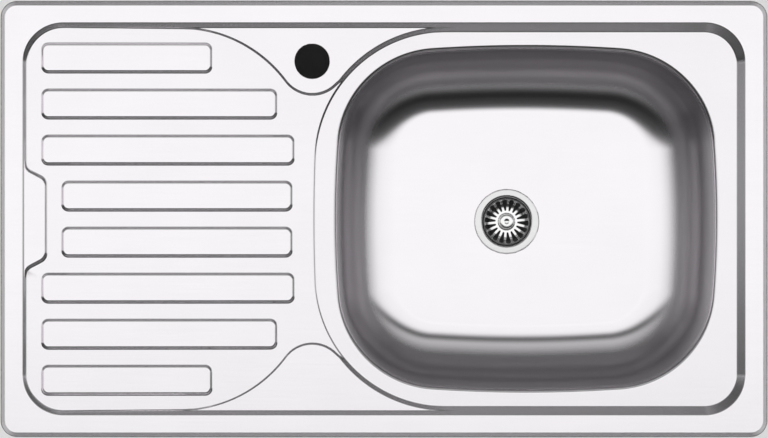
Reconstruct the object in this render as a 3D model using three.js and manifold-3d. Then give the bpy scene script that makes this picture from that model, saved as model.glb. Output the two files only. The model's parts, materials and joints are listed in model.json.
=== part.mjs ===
// Inset kitchen sink with a ribbed drainer on the left and one bowl on the right, pressed from a single
// stainless sheet, with its basket waste, rim seal, sound pads and fixing clips.
// Millimetres. +X to the bowl, +Y to the wall (tap side), +Z up. The origin is the middle of the rim's
// outline, level with the top of the worktop that the rim lies on.

import * as THREE from "three";
import { mergeVertices } from "three/addons/utils/BufferGeometryUtils.js";
import Module from "manifold-3d";

const wasm = await Module();
wasm.setup();

// ---------------------------------------------------------------- driving dimensions

// Sheet and overall outline
const SINK_LENGTH = 765;
const SINK_WIDTH = 435;
const SHEET = 0.8;
const OUTER_CORNER = 16.5;
const RIM_HEIGHT = 6;
const LIP_RUN = 4.4;
const LIP_THICKNESS = 1;

// Recess inside the rim: the levels are drops below the rim's top, with 45 degree steps between them
const RIM_WIDTH = 22.2;
const RECESS_CORNER = 40.7;
const LEDGE_DROP = 4.3;
const TAB_DROP = 1.8;
const DRAINER_DROP_FAR = 3.6;
const DRAINER_DROP_NEAR = 6.8;
const SURROUND_DROP = 8.1;

// Bowl
const BOWL_LENGTH = 387.6;
const BOWL_WIDTH = 348.8;
const BOWL_CORNER = 104.4;
const BOWL_SIDE_CROWN = 1000;
const BOWL_FRONT_CROWN = 1396;
const BOWL_TO_RIM_END = 46.8;
const BOWL_DEPTH = 150;
const BOWL_DRAFT = THREE.MathUtils.degToRad(2.5);
const MOUTH_FILLET = 4.5;
const FLOOR_FILLET = 55.5;

// Sunken surround: the band between the bowl's mouth and the foot of the surround's step
const SURROUND_BAND = 17.4;
const SURROUND_CORNER = 130;
const SURROUND_SIDE_CROWN = 1700;

// Tap hole, the round ledge about it and the sweep that joins the ledge to the recess
const TAP_HOLE = 35;
const TAP_LEDGE_BAND = 10.4;
const TAP_TO_RECESS = 38;
const TAP_TO_BOWL = 213.6;
const SWEEP_RADIUS = 136;
const LEDGE_HOOK = 40;
const LEDGE_HOOK_ANGLE = 45;

// Raised land at the drainer's far end
const TAB_WIDTH = 20.3;
const TAB_HALF_LENGTH = 55.6;
const TAB_BEND_ANGLE = 62;
const TAB_OUTER_BEND = 12.4;
const TAB_INNER_BEND = 7;

// Drainer ribs: rows in mirrored pairs, the outermost pair first
const RIB_PITCH = 45.9;
const RIB_WIDTH = 29.9;
const RIB_HEIGHT = 2;
const RIB_CORNER = 7;
const RIB_MARGIN = 18.7;
const RIB_ROWS = [
  { inset: 0, endGap: 30 },
  { inset: 0, endGap: 19 },
  { inset: 0, endGap: 22.7 },
  { inset: 20, endGap: 21.5 },
];

// Waste: the levels below the flange's top
const DRAIN_TO_BOWL = [-13.6, -2.7];
const WASTE_HOLE = 52;
const FLANGE_RECESS = 2;
const FLANGE_MARGIN = 0.6;
const FLANGE_RADIUS = 33.2;
const FLANGE_THICKNESS = 1;
const UPPER_SEAL_THICKNESS = 1.5;
const LOWER_SEAL_THICKNESS = 2.5;
const SEAL_MARGIN = 0.8;
const WASTE_CUP_RADIUS = 24.9;
const WASTE_CUP_WALL = 0.7;
const WASTE_CUP_DEPTH = 18;
const WASTE_CUP_CHAMFER = 1.4;
const WASTE_SEAT_RADIUS = 16;
const BRIDGE_RADIUS = 8;
const BRIDGE_WIDTH = 5;
const BRIDGES = 3;
const BRIDGE_TUCK = 1;
const WASTE_SCREW_RADIUS = 2.9;
const WASTE_SCREW_LENGTH = 28;
const SCREW_HEAD_RADIUS = 4.75;
const SCREW_HEAD_HEIGHT = 6;
const SCREW_HEAD_CHAMFER = 0.8;
const SCREW_SLOT_WIDTH = 1.2;
const SCREW_SLOT_DEPTH = 1.5;
const WASTE_BODY_RADIUS = 36;
const WASTE_BODY_WALL = 3;
const WASTE_BODY_FLANGE = 3;
const WASTE_BODY_FLOOR = 2;
const CHAMBER_RADIUS = 28.5;
const CHAMBER_DEPTH = 20;
const OUTLET_BORE = 19.5;
const OUTLET_RADIUS = 22.6;
const OUTLET_DEPTH = 64;
const BODY_HUB_RADIUS = 7;
const BODY_HUB_MARGIN = 2;
const THREAD_PITCH = 3;
const THREAD_HEIGHT = 0.9;
const THREADS = 7;

// Strainer basket: the levels are below the flange's top, with the waste open
const BASKET_RIM_DROP = 1.2;
const BASKET_FLOOR_DROP = 8;
const BASKET_THICKNESS = 0.8;
const BASKET_FLAT_RADIUS = 17;
const BASKET_SIDE_STEPS = 3;
const BASKET_LIP = 1;
const SLOTS = 18;
const SLOT_START = 12.3;
const SLOT_END_MARGIN = 0.9;
const SLOT_CHAMFER = 0.8;
const SLOT_TOP_MARGIN = 0.5;
const SLOT_SHARE = 0.56;
const HUB_RADIUS = 11.3;
const HUB_RISE = 0.8;
const HUB_BEVEL = 0.8;
const POST_RADIUS = 7.3;
const POST_SHOULDER = 0.6;
const NECK_RADIUS = 4.2;
const NECK_RISE = 2.2;
const KNOB_RADIUS = 5.7;
const KNOB_RISE = 1.5;
const KNOB_HEIGHT = 1.8;
const KNOB_UNDERCUT = 1;
const KNOB_CHAMFER = 0.65;
const DIMPLE_RADIUS = 2.1;
const DIMPLE_DEPTH = 0.8;
const POST_COLLAR = 1.3;
const POST_COLLAR_WIDTH = 2;
const POST_BORE_RADIUS = 5.7;
const STOPPER_RADIUS = 19.5;
const STOPPER_CHAMFER = 1;
const STOPPER_TRAVEL = 4.1;
const SPRING_RING_HEIGHT = 0.8;
const SPRING_RING_RISE = 0.6;

// Rim seal and sound pads
const SEAL_WIDTH = 4;
const PAD_LENGTH = 52;
const PAD_WIDTH = 130;
const PAD_THICKNESS = 3;
const PAD_CORNER = 6;
const PAD_TO_DRAIN = 50;

// Fixing clips, and the worktop that they are set for
const WORKTOP = 38;
const CUTOUT_MARGIN = 10;
const CLIP_TO_END = 152.5;
const CLIP_SETBACK = 1.5;
const CLIP_WIDTH = 24;
const CLIP_PLATE = 1.2;
const CLIP_DEPTH = 10;
const CLIP_DROP = 18;
const CLIP_BOSS_RADIUS = 4.5;
const CLIP_BOSS_HEIGHT = 4;
const CLIP_SCREW_RADIUS = 2.5;
const CLIP_SCREW_LENGTH = 39;
const CLIP_HEAD_RADIUS = 4.6;
const CLIP_HEAD_HEIGHT = 3.5;
const CLAW_WIDTH = 18;
const CLAW_THICKNESS = 2;
const CLAW_REACH = 9;
const CLAW_TAIL = 7;
const CLAW_HEEL = 6.7;
const TOOTH_DEPTH = 2;
const TOOTH_WIDTH = 5;
const RETAINER_RADIUS = 4.4;
const RETAINER_THICKNESS = 1;

// Fits
const GAP = 0.3;
const HOLE_CLEARANCE = 0.3;

// ---------------------------------------------------------------- places worked out from them

const HALF_LENGTH = SINK_LENGTH / 2;
const HALF_WIDTH = SINK_WIDTH / 2;
const RECESS_X = HALF_LENGTH - RIM_WIDTH;
const RECESS_Y = HALF_WIDTH - RIM_WIDTH;
const BOWL_X = HALF_LENGTH - BOWL_TO_RIM_END - BOWL_LENGTH / 2;
const LEDGE_Z = RIM_HEIGHT - LEDGE_DROP;
const SURROUND_Z = RIM_HEIGHT - SURROUND_DROP;
const FLOOR_Z = SURROUND_Z - BOWL_DEPTH;
const RIM_UNDERSIDE = RIM_HEIGHT - SHEET;
const TAP = { x: BOWL_X - TAP_TO_BOWL, y: RECESS_Y - TAP_TO_RECESS };
const DRAIN = { x: BOWL_X + DRAIN_TO_BOWL[0], y: DRAIN_TO_BOWL[1] };
const SURROUND_FOOT_X = BOWL_X - BOWL_LENGTH / 2 - SURROUND_BAND;
const FLANGE_TOP = FLOOR_Z - FLANGE_RECESS + UPPER_SEAL_THICKNESS + FLANGE_THICKNESS;
const RECESS_UNDERSIDE = FLOOR_Z - FLANGE_RECESS - SHEET;

// ---------------------------------------------------------------- outlines
// An outline is a closed chain of arcs, anticlockwise, joined by the straight lines that touch them.
// An arc that runs anticlockwise bulges out of the outline and one that runs clockwise bulges into it.

const RADIANS = Math.PI / 180;
const CHORD_ERROR = 0.35;
const LEAST_STEPS = 2;
const TURN_SIDES = 40;
const SCREW_SIDES = 20;
const HEXAGON = 6;

function arc(x, y, r, from, to) {
  return { x, y, r, from, to };
}

function arcPoints(a, inset) {
  const step = (2 * Math.acos(1 - CHORD_ERROR / a.r)) / RADIANS;
  const steps = Math.max(LEAST_STEPS, Math.ceil(Math.abs(a.to - a.from) / step));
  const radius = a.to > a.from ? a.r - inset : a.r + inset;
  const points = [];
  for (let i = 0; i <= steps; i += 1) {
    const angle = (a.from + ((a.to - a.from) * i) / steps) * RADIANS;
    points.push(new THREE.Vector2(a.x + radius * Math.cos(angle), a.y + radius * Math.sin(angle)));
  }
  return points;
}

// The outline's points, moved inwards by inset. Where two arcs meet, their shared point is kept once.
function outlinePoints(arcs, inset) {
  const points = [];
  for (const point of arcs.flatMap((a) => arcPoints(a, inset))) {
    if (!points.length || points[points.length - 1].distanceTo(point) > 1e-3) points.push(point);
  }
  if (points[0].distanceTo(points[points.length - 1]) < 1e-3) points.pop();
  return points;
}

function roundedRectangle(x0, x1, y0, y1, r) {
  return [
    arc(x1 - r, y0 + r, r, -90, 0),
    arc(x1 - r, y1 - r, r, 0, 90),
    arc(x0 + r, y1 - r, r, 90, 180),
    arc(x0 + r, y0 + r, r, 180, 270),
  ];
}

// A rounded rectangle whose four sides are shallow arcs that run smoothly into its corners.
function crownedRectangle(x, halfX, halfY, r, sideCrown, frontCrown) {
  const side = new THREE.Vector2(halfX - sideCrown, 0);
  const front = new THREE.Vector2(0, halfY - frontCrown);
  const toSide = sideCrown - r;
  const toFront = frontCrown - r;
  const between = front.clone().sub(side);
  const apart = between.length();
  const along = (apart * apart + toSide * toSide - toFront * toFront) / (2 * apart);
  const across = Math.sqrt(toSide * toSide - along * along);
  const unit = between.divideScalar(apart);
  const corner = new THREE.Vector2(
    side.x + unit.x * along - unit.y * across,
    side.y + unit.y * along + unit.x * across,
  );
  const low = Math.atan2(corner.y, corner.x - side.x) / RADIANS;
  const high = Math.atan2(corner.y - front.y, corner.x) / RADIANS;
  return [
    arc(x + side.x, 0, sideCrown, -low, low),
    arc(x + corner.x, corner.y, r, low, high),
    arc(x, front.y, frontCrown, high, 180 - high),
    arc(x - corner.x, corner.y, r, 180 - high, 180 - low),
    arc(x - side.x, 0, sideCrown, 180 - low, 180 + low),
    arc(x - corner.x, -corner.y, r, 180 + low, 180 + high),
    arc(x, -front.y, frontCrown, 180 + high, 360 - high),
    arc(x + corner.x, -corner.y, r, 360 - high, 360 - low),
  ];
}

// The surround and the drainer are trimmed by the recess, so their edges run a little outside it.
const OVERRUN = 0.3;
const EDGE_X = RECESS_X + OVERRUN;
const EDGE_Y = RECESS_Y + OVERRUN;
const EDGE_CORNER = RECESS_CORNER + OVERRUN;

// The surround's edge at the height of the rim: square to the recess on the right, bowed on the left.
function surroundOutline() {
  const corner = SURROUND_CORNER + SURROUND_DROP;
  const crown = SURROUND_SIDE_CROWN + SURROUND_DROP;
  const crownX = SURROUND_FOOT_X - SURROUND_DROP + crown;
  const y = EDGE_Y - corner;
  const x = crownX - Math.sqrt((crown - corner) ** 2 - y ** 2);
  const turn = Math.atan2(y, crownX - x) / RADIANS;
  const end = EDGE_X - EDGE_CORNER;
  return [
    arc(end, EDGE_CORNER - EDGE_Y, EDGE_CORNER, -90, 0),
    arc(end, EDGE_Y - EDGE_CORNER, EDGE_CORNER, 0, 90),
    arc(x, y, corner, 90, 180 - turn),
    arc(crownX, 0, crown, 180 - turn, 180 + turn),
    arc(x, -y, corner, 180 + turn, 270),
  ];
}

// The drainer's edge at the height of the rim. It sweeps down past the round ledge of the tap hole, and
// the same way at the front, and ends out of sight inside the lower surround.
function drainerOutline() {
  const ledge = TAP_HOLE / 2 + TAP_LEDGE_BAND;
  const sweepY = EDGE_Y - SWEEP_RADIUS;
  const reach = SWEEP_RADIUS + ledge;
  const turn = Math.asin((TAP.y - sweepY) / reach) / RADIANS;
  const sweepX = TAP.x - reach * Math.cos(turn * RADIANS);
  const hook = (ledge + LEDGE_HOOK) * Math.cos(LEDGE_HOOK_ANGLE * RADIANS);
  const hookDown = (ledge + LEDGE_HOOK) * Math.sin(LEDGE_HOOK_ANGLE * RADIANS);
  const hookX = TAP.x + hook;
  const hookY = TAP.y - hookDown;
  const cornerX = EDGE_CORNER - EDGE_X;
  const cornerY = EDGE_Y - EDGE_CORNER;
  return [
    arc(cornerX, -cornerY, EDGE_CORNER, 180, 270),
    arc(sweepX, -sweepY, SWEEP_RADIUS, -90, -turn),
    arc(TAP.x, -TAP.y, ledge, 180 - turn, LEDGE_HOOK_ANGLE),
    arc(hookX, -hookY, LEDGE_HOOK, 180 + LEDGE_HOOK_ANGLE, 360),
    arc(hookX, hookY, LEDGE_HOOK, 0, 180 - LEDGE_HOOK_ANGLE),
    arc(TAP.x, TAP.y, ledge, -LEDGE_HOOK_ANGLE, turn - 180),
    arc(sweepX, sweepY, SWEEP_RADIUS, turn, 90),
    arc(cornerX, cornerY, EDGE_CORNER, 90, 180),
    ...tabBends(),
  ];
}

// The four bends by which the drainer's edge goes round the raised land at its far end.
function tabBends() {
  const bend = TAB_BEND_ANGLE * RADIANS;
  const sideways = 1 - Math.cos(bend);
  const slant = TAB_WIDTH + OVERRUN - (TAB_OUTER_BEND + TAB_INNER_BEND) * sideways;
  const drop = (TAB_OUTER_BEND + TAB_INNER_BEND) * Math.sin(bend) + slant / Math.tan(bend);
  const outerX = TAB_OUTER_BEND - EDGE_X;
  const innerX = TAB_WIDTH - TAB_INNER_BEND - RECESS_X;
  const innerY = TAB_HALF_LENGTH - drop;
  return [
    arc(outerX, TAB_HALF_LENGTH, TAB_OUTER_BEND, 180, 180 + TAB_BEND_ANGLE),
    arc(innerX, innerY, TAB_INNER_BEND, TAB_BEND_ANGLE, 0),
    arc(innerX, -innerY, TAB_INNER_BEND, 0, -TAB_BEND_ANGLE),
    arc(outerX, -TAB_HALF_LENGTH, TAB_OUTER_BEND, 180 - TAB_BEND_ANGLE, 180),
  ];
}

const RIM_OUTLINE = roundedRectangle(-HALF_LENGTH, HALF_LENGTH, -HALF_WIDTH, HALF_WIDTH, OUTER_CORNER);
const RECESS_OUTLINE = roundedRectangle(-RECESS_X, RECESS_X, -RECESS_Y, RECESS_Y, RECESS_CORNER);
const SURROUND_OUTLINE = surroundOutline();
const DRAINER_OUTLINE = drainerOutline();
const BOWL_OUTLINE = crownedRectangle(
  BOWL_X,
  BOWL_LENGTH / 2,
  BOWL_WIDTH / 2,
  BOWL_CORNER,
  BOWL_SIDE_CROWN,
  BOWL_FRONT_CROWN,
);

// The first x to the right of start at which the outline crosses the height y.
function firstCrossing(outline, inset, y, start) {
  const points = outlinePoints(outline, inset);
  let nearest = Infinity;
  points.forEach((p, i) => {
    const q = points[(i + 1) % points.length];
    if (p.y > y === q.y > y) return;
    const x = p.x + ((q.x - p.x) * (y - p.y)) / (q.y - p.y);
    if (x > start) nearest = Math.min(nearest, x);
  });
  return nearest;
}

// ---------------------------------------------------------------- solids

function solid(geometry) {
  const bare = geometry.index ? geometry.toNonIndexed() : geometry.clone();
  bare.deleteAttribute("normal");
  bare.deleteAttribute("uv");
  const merged = mergeVertices(bare, 1e-4);
  return new wasm.Manifold(
    new wasm.Mesh({
      numProp: 3,
      vertProperties: new Float32Array(merged.attributes.position.array),
      triVerts: new Uint32Array(merged.index.array),
    }),
  );
}

function geometryOf(manifold) {
  const mesh = manifold.getMesh();
  const indexed = new THREE.BufferGeometry();
  indexed.setAttribute("position", new THREE.BufferAttribute(mesh.vertProperties, 3));
  indexed.setIndex(new THREE.BufferAttribute(mesh.triVerts, 1));
  const flat = indexed.toNonIndexed();
  flat.computeVertexNormals();
  return flat;
}

function joined(parts) {
  return parts.reduce((whole, part) => whole.add(part));
}

function cut(whole, cutters) {
  return cutters.reduce((rest, cutter) => rest.subtract(cutter), whole);
}

// A closed body through loops of equally many points, from the lowest to the highest.
function loft(sections) {
  const count = sections[0].points.length;
  const positions = sections.flatMap((s) => s.points.flatMap((p) => [p.x, p.y, s.z]));
  const index = [];
  for (let s = 0; s + 1 < sections.length; s += 1) {
    for (let i = 0; i < count; i += 1) {
      const a = s * count + i;
      const b = s * count + ((i + 1) % count);
      index.push(a, b, b + count, a, b + count, a + count);
    }
  }
  const top = (sections.length - 1) * count;
  for (const [a, b, c] of THREE.ShapeUtils.triangulateShape(sections[0].points, [])) {
    index.push(a, c, b);
  }
  for (const [a, b, c] of THREE.ShapeUtils.triangulateShape(sections.at(-1).points, [])) {
    index.push(top + a, top + b, top + c);
  }
  const geometry = new THREE.BufferGeometry();
  geometry.setAttribute("position", new THREE.Float32BufferAttribute(positions, 3));
  geometry.setIndex(index);
  return geometry;
}

function prism(points, z0, z1) {
  const shape = new THREE.Shape(points);
  return new THREE.ExtrudeGeometry(shape, { depth: z1 - z0, bevelEnabled: false }).translate(0, 0, z0);
}

// A profile of [y, z] corners made into a bar that runs along X, centred on x = 0.
function bar(corners, width) {
  const shape = new THREE.Shape(corners.map(([y, z]) => new THREE.Vector2(y, z)));
  const geometry = new THREE.ExtrudeGeometry(shape, { depth: width, bevelEnabled: false });
  const stand = new THREE.Matrix4().set(0, 0, 1, -width / 2, 1, 0, 0, 0, 0, 1, 0, 0, 0, 0, 0, 1);
  return geometry.applyMatrix4(stand);
}

function box(x0, x1, y0, y1, z0, z1) {
  const geometry = new THREE.BoxGeometry(x1 - x0, y1 - y0, z1 - z0);
  return geometry.translate((x0 + x1) / 2, (y0 + y1) / 2, (z0 + z1) / 2);
}

function rod(radius, z0, z1, sides = 32) {
  const geometry = new THREE.CylinderGeometry(radius, radius, z1 - z0, sides);
  return geometry.rotateX(Math.PI / 2).translate(0, 0, (z0 + z1) / 2);
}

// A body turned about the Z axis from a closed profile of [radius, z] corners, anticlockwise.
function turned(corners, sides = TURN_SIDES) {
  const profile = [...corners, corners[0]].map(([r, z]) => new THREE.Vector2(r, z));
  return new THREE.LatheGeometry(profile, sides).rotateX(Math.PI / 2);
}

function ring(inner, outer, z0, z1, sides = TURN_SIDES) {
  const corners = [
    [inner, z0],
    [outer, z0],
    [outer, z1],
    [inner, z1],
  ];
  return turned(corners, sides);
}

// ---------------------------------------------------------------- the pressed sheet

// Fall of the drainer's floor towards the bowl, as a height at x.
const DRAINER_FAR_X = -RECESS_X;
const DRAINER_SLOPE = (DRAINER_DROP_NEAR - DRAINER_DROP_FAR) / (SURROUND_FOOT_X - DRAINER_FAR_X);

function tilted(geometry) {
  const height = RIM_HEIGHT - DRAINER_DROP_FAR + DRAINER_SLOPE * DRAINER_FAR_X;
  const shear = new THREE.Matrix4().set(1, 0, 0, 0, 0, 1, 0, 0, -DRAINER_SLOPE, 0, 1, height, 0, 0, 0, 1);
  return geometry.applyMatrix4(shear);
}

// The hollow under an outline whose sides slope in at 45 degrees to a flat floor. Lowered by the sheet's
// thickness, and closed inside the rim's plate, the same hollow gives the sheet's underside.
function pocket(outline, drop, lowered) {
  const top = lowered ? RIM_HEIGHT - lowered / 2 : RIM_HEIGHT + 1;
  return solid(
    loft([
      { points: outlinePoints(outline, drop), z: RIM_HEIGHT - lowered - drop },
      { points: outlinePoints(outline, RIM_HEIGHT - lowered - top), z: top },
    ]),
  );
}

function ribSolids() {
  const rows = [];
  RIB_ROWS.forEach((row, i) => {
    const y = RIB_PITCH * (RIB_ROWS.length - i - 0.5);
    const far = y + RIB_WIDTH / 2;
    const start = RIB_MARGIN + row.inset - RECESS_X;
    const edge = Math.min(
      firstCrossing(DRAINER_OUTLINE, LEDGE_DROP, far, start),
      firstCrossing(SURROUND_OUTLINE, DRAINER_DROP_NEAR, far, start),
    );
    const outline = roundedRectangle(start, edge - row.endGap, -RIB_WIDTH / 2, RIB_WIDTH / 2, RIB_CORNER);
    for (const side of [y, -y]) {
      const rib = loft([
        { points: outlinePoints(outline, -RIB_HEIGHT), z: -RIB_HEIGHT },
        { points: outlinePoints(outline, RIB_HEIGHT), z: RIB_HEIGHT },
      ]);
      rows.push(solid(tilted(rib.translate(0, side, 0))));
    }
  });
  return rows;
}

function slab(x1, z1) {
  return box(-HALF_LENGTH, x1, -HALF_WIDTH, HALF_WIDTH, 2 * SURROUND_Z - RIM_HEIGHT, z1);
}

function drainerHollow(lowered) {
  const ground = joined([solid(tilted(slab(HALF_LENGTH, 0))), ...ribSolids()]);
  return pocket(DRAINER_OUTLINE, DRAINER_DROP_NEAR + 1, lowered).subtract(ground.translate([0, 0, -lowered]));
}

// Everything inside the rim down to the levels of the tab, the ledge, the drainer and the surround. The
// block under the ribs is there for the ribs whose tops are higher than the ledge.
function recessHollow(lowered) {
  const tabZ = RIM_HEIGHT - TAB_DROP;
  const tab = slab(TAP.x - SWEEP_RADIUS, tabZ);
  const ribBlock = prism(outlinePoints(DRAINER_OUTLINE, LEDGE_DROP + 1), SURROUND_Z, (tabZ + LEDGE_Z) / 2);
  const land = joined([solid(tab), solid(slab(HALF_LENGTH, LEDGE_Z)), solid(ribBlock)]);
  const ground = cut(land.translate([0, 0, -lowered]), [
    drainerHollow(lowered),
    pocket(SURROUND_OUTLINE, SURROUND_DROP, lowered),
  ]);
  return pocket(RECESS_OUTLINE, SURROUND_DROP + 1, lowered).subtract(ground);
}

// Level and inset of the bowl's wall, from the mouth down: rounded mouth, drafted wall, rounded foot.
function bowlProfile(thickness) {
  const steep = Math.PI / 2 - BOWL_DRAFT;
  const mouthSteps = 3;
  const floorSteps = 6;
  const wallDrop = BOWL_DEPTH - (MOUTH_FILLET + FLOOR_FILLET) * (1 - Math.sin(BOWL_DRAFT));
  const floorInset = (MOUTH_FILLET + FLOOR_FILLET) * Math.cos(BOWL_DRAFT) + wallDrop * Math.tan(BOWL_DRAFT);
  const profile = [];
  for (let i = 1; i <= mouthSteps; i += 1) {
    const lean = (steep * i) / mouthSteps;
    const radius = MOUTH_FILLET - thickness;
    profile.push({
      inset: radius * Math.sin(lean),
      z: SURROUND_Z - MOUTH_FILLET + radius * Math.cos(lean),
    });
  }
  for (let i = 0; i <= floorSteps; i += 1) {
    const lean = steep * (1 - i / floorSteps);
    const radius = FLOOR_FILLET + thickness;
    profile.push({
      inset: floorInset - radius * Math.sin(lean),
      z: FLOOR_Z + FLOOR_FILLET - radius * Math.cos(lean),
    });
  }
  return profile;
}

// The bowl as a solid plug, for its inside or, with the sheet's thickness, for its outside. The slope of
// the rounded mouth carries on a little above the surround.
function bowlPlug(thickness) {
  const profile = bowlProfile(thickness);
  const { inset, z } = profile[0];
  const rise = thickness ? thickness / 2 : 1;
  const flare = (rise * inset) / (SURROUND_Z - thickness - z);
  profile.unshift({ inset: -flare, z: SURROUND_Z - thickness + rise });
  const sections = profile.map((p) => ({ points: outlinePoints(BOWL_OUTLINE, p.inset), z: p.z }));
  return solid(loft(sections.reverse()));
}

function flangeRecess(thickness) {
  const radius = FLANGE_RADIUS + FLANGE_MARGIN + thickness;
  const low = FLOOR_Z - FLANGE_RECESS - thickness;
  const high = thickness ? FLOOR_Z - thickness / 2 : FLOOR_Z + 1;
  return solid(rod(radius, low, high, TURN_SIDES).translate(DRAIN.x, DRAIN.y, 0));
}

function lipShell(inset, z0, z1) {
  const run = LIP_RUN / RIM_HEIGHT;
  return solid(
    loft([
      { points: outlinePoints(RIM_OUTLINE, inset + run * z0), z: z0 },
      { points: outlinePoints(RIM_OUTLINE, inset + run * z1), z: z1 },
    ]),
  );
}

function sinkShell() {
  const plate = lipShell(0, 0, RIM_HEIGHT).subtract(lipShell(LIP_THICKNESS, -1, RIM_UNDERSIDE));
  const outside = joined([plate, recessHollow(SHEET), bowlPlug(SHEET), flangeRecess(SHEET)]);
  return cut(outside, [
    recessHollow(0),
    bowlPlug(0),
    flangeRecess(0),
    solid(rod(TAP_HOLE / 2, -RIM_HEIGHT, 2 * RIM_HEIGHT, TURN_SIDES).translate(TAP.x, TAP.y, 0)),
    solid(rod(WASTE_HOLE / 2, FLOOR_Z - BOWL_DEPTH, FLOOR_Z, TURN_SIDES).translate(DRAIN.x, DRAIN.y, 0)),
  ]);
}

// ---------------------------------------------------------------- waste, on its own axis, z from flange top

const CUP_OUTER = WASTE_CUP_RADIUS + WASTE_CUP_WALL;
const CUP_FLOOR = -WASTE_CUP_DEPTH;
const SEAT_UNDERSIDE = CUP_FLOOR - FLANGE_THICKNESS;
const SINK_UNDERSIDE = RECESS_UNDERSIDE - FLANGE_TOP;
const BODY_TOP = SINK_UNDERSIDE - LOWER_SEAL_THICKNESS;

function wasteBridges(reach, z0, z1) {
  const arms = [];
  for (let i = 0; i < BRIDGES; i += 1) {
    const arm = box(0, reach, -BRIDGE_WIDTH / 2, BRIDGE_WIDTH / 2, z0, z1);
    arms.push(solid(arm.rotateZ((i * 2 * Math.PI) / BRIDGES)));
  }
  return arms;
}

function wasteFlange() {
  const edge = FLANGE_THICKNESS / 3;
  const dish = turned([
    [WASTE_SEAT_RADIUS, SEAT_UNDERSIDE],
    [CUP_OUTER, SEAT_UNDERSIDE],
    [CUP_OUTER, -FLANGE_THICKNESS],
    [FLANGE_RADIUS, -FLANGE_THICKNESS],
    [FLANGE_RADIUS, -edge],
    [FLANGE_RADIUS - edge, 0],
    [WASTE_CUP_RADIUS + WASTE_CUP_CHAMFER, 0],
    [WASTE_CUP_RADIUS, -WASTE_CUP_CHAMFER],
    [WASTE_CUP_RADIUS, CUP_FLOOR],
    [WASTE_SEAT_RADIUS, CUP_FLOOR],
  ]);
  const hub = solid(rod(BRIDGE_RADIUS, SEAT_UNDERSIDE, CUP_FLOOR));
  const bridges = wasteBridges(WASTE_SEAT_RADIUS + BRIDGE_TUCK, SEAT_UNDERSIDE, CUP_FLOOR);
  const whole = joined([solid(dish), hub, ...bridges]);
  const hole = rod(WASTE_SCREW_RADIUS + HOLE_CLEARANCE, SEAT_UNDERSIDE - 1, CUP_FLOOR + 1, SCREW_SIDES);
  return whole.subtract(solid(hole));
}

function wasteTopSeal() {
  const low = -FLANGE_THICKNESS - UPPER_SEAL_THICKNESS;
  return ring(WASTE_HOLE / 2 + SEAL_MARGIN, FLANGE_RADIUS - SEAL_MARGIN, low, -FLANGE_THICKNESS);
}

function wasteBottomSeal() {
  return ring(WASTE_HOLE / 2 + SEAL_MARGIN, WASTE_BODY_RADIUS, BODY_TOP, SINK_UNDERSIDE);
}

// A straight slot across the middle of a screw's head, from low to high.
function screwSlot(radius, low, high) {
  return solid(box(-radius - 1, radius + 1, -SCREW_SLOT_WIDTH / 2, SCREW_SLOT_WIDTH / 2, low, high));
}

function wasteScrew() {
  const high = CUP_FLOOR + SCREW_HEAD_HEIGHT;
  const low = CUP_FLOOR - WASTE_SCREW_LENGTH;
  const corners = [
    [0, low],
    [WASTE_SCREW_RADIUS, low],
    [WASTE_SCREW_RADIUS, CUP_FLOOR],
    [SCREW_HEAD_RADIUS, CUP_FLOOR],
    [SCREW_HEAD_RADIUS, high - SCREW_HEAD_CHAMFER],
    [SCREW_HEAD_RADIUS - SCREW_HEAD_CHAMFER, high],
    [0, high],
  ];
  const slot = screwSlot(SCREW_HEAD_RADIUS, high - SCREW_SLOT_DEPTH, high + 1);
  return solid(turned(corners, SCREW_SIDES)).subtract(slot);
}

// Plastic body: flange under the sink, chamber round the cup, funnel and threaded outlet.
function wasteBody() {
  const chamberFloor = BODY_TOP - CHAMBER_DEPTH;
  const funnelEnd = chamberFloor - (CHAMBER_RADIUS - OUTLET_BORE);
  const threadTop = THREADS * THREAD_PITCH - OUTLET_DEPTH;
  const thread = [];
  for (let i = 0; i < THREADS; i += 1) {
    const z = i * THREAD_PITCH - OUTLET_DEPTH;
    thread.push([OUTLET_RADIUS, z], [OUTLET_RADIUS + THREAD_HEIGHT, z + THREAD_PITCH / 2]);
  }
  const shell = turned([
    [OUTLET_BORE, -OUTLET_DEPTH],
    ...thread,
    [OUTLET_RADIUS, threadTop],
    [OUTLET_RADIUS, funnelEnd - WASTE_BODY_FLOOR],
    [CHAMBER_RADIUS + WASTE_BODY_WALL, chamberFloor - WASTE_BODY_FLOOR],
    [CHAMBER_RADIUS + WASTE_BODY_WALL, BODY_TOP - WASTE_BODY_FLANGE - 1],
    [WASTE_BODY_RADIUS, BODY_TOP - WASTE_BODY_FLANGE],
    [WASTE_BODY_RADIUS, BODY_TOP],
    [CHAMBER_RADIUS, BODY_TOP],
    [CHAMBER_RADIUS, chamberFloor],
    [OUTLET_BORE, funnelEnd],
  ]);
  const hubLow = CUP_FLOOR - WASTE_SCREW_LENGTH - BODY_HUB_MARGIN;
  const hubHigh = SEAT_UNDERSIDE - BODY_HUB_MARGIN;
  const hub = solid(rod(BODY_HUB_RADIUS, hubLow, hubHigh, SCREW_SIDES));
  const arms = wasteBridges(OUTLET_BORE + BRIDGE_TUCK, hubLow, funnelEnd - 1);
  const hole = rod(WASTE_SCREW_RADIUS + HOLE_CLEARANCE, hubLow - 1, hubHigh + 1, SCREW_SIDES);
  return joined([solid(shell), hub, ...arms]).subtract(solid(hole));
}

// ---------------------------------------------------------------- strainer, in the same frame, waste open

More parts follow.
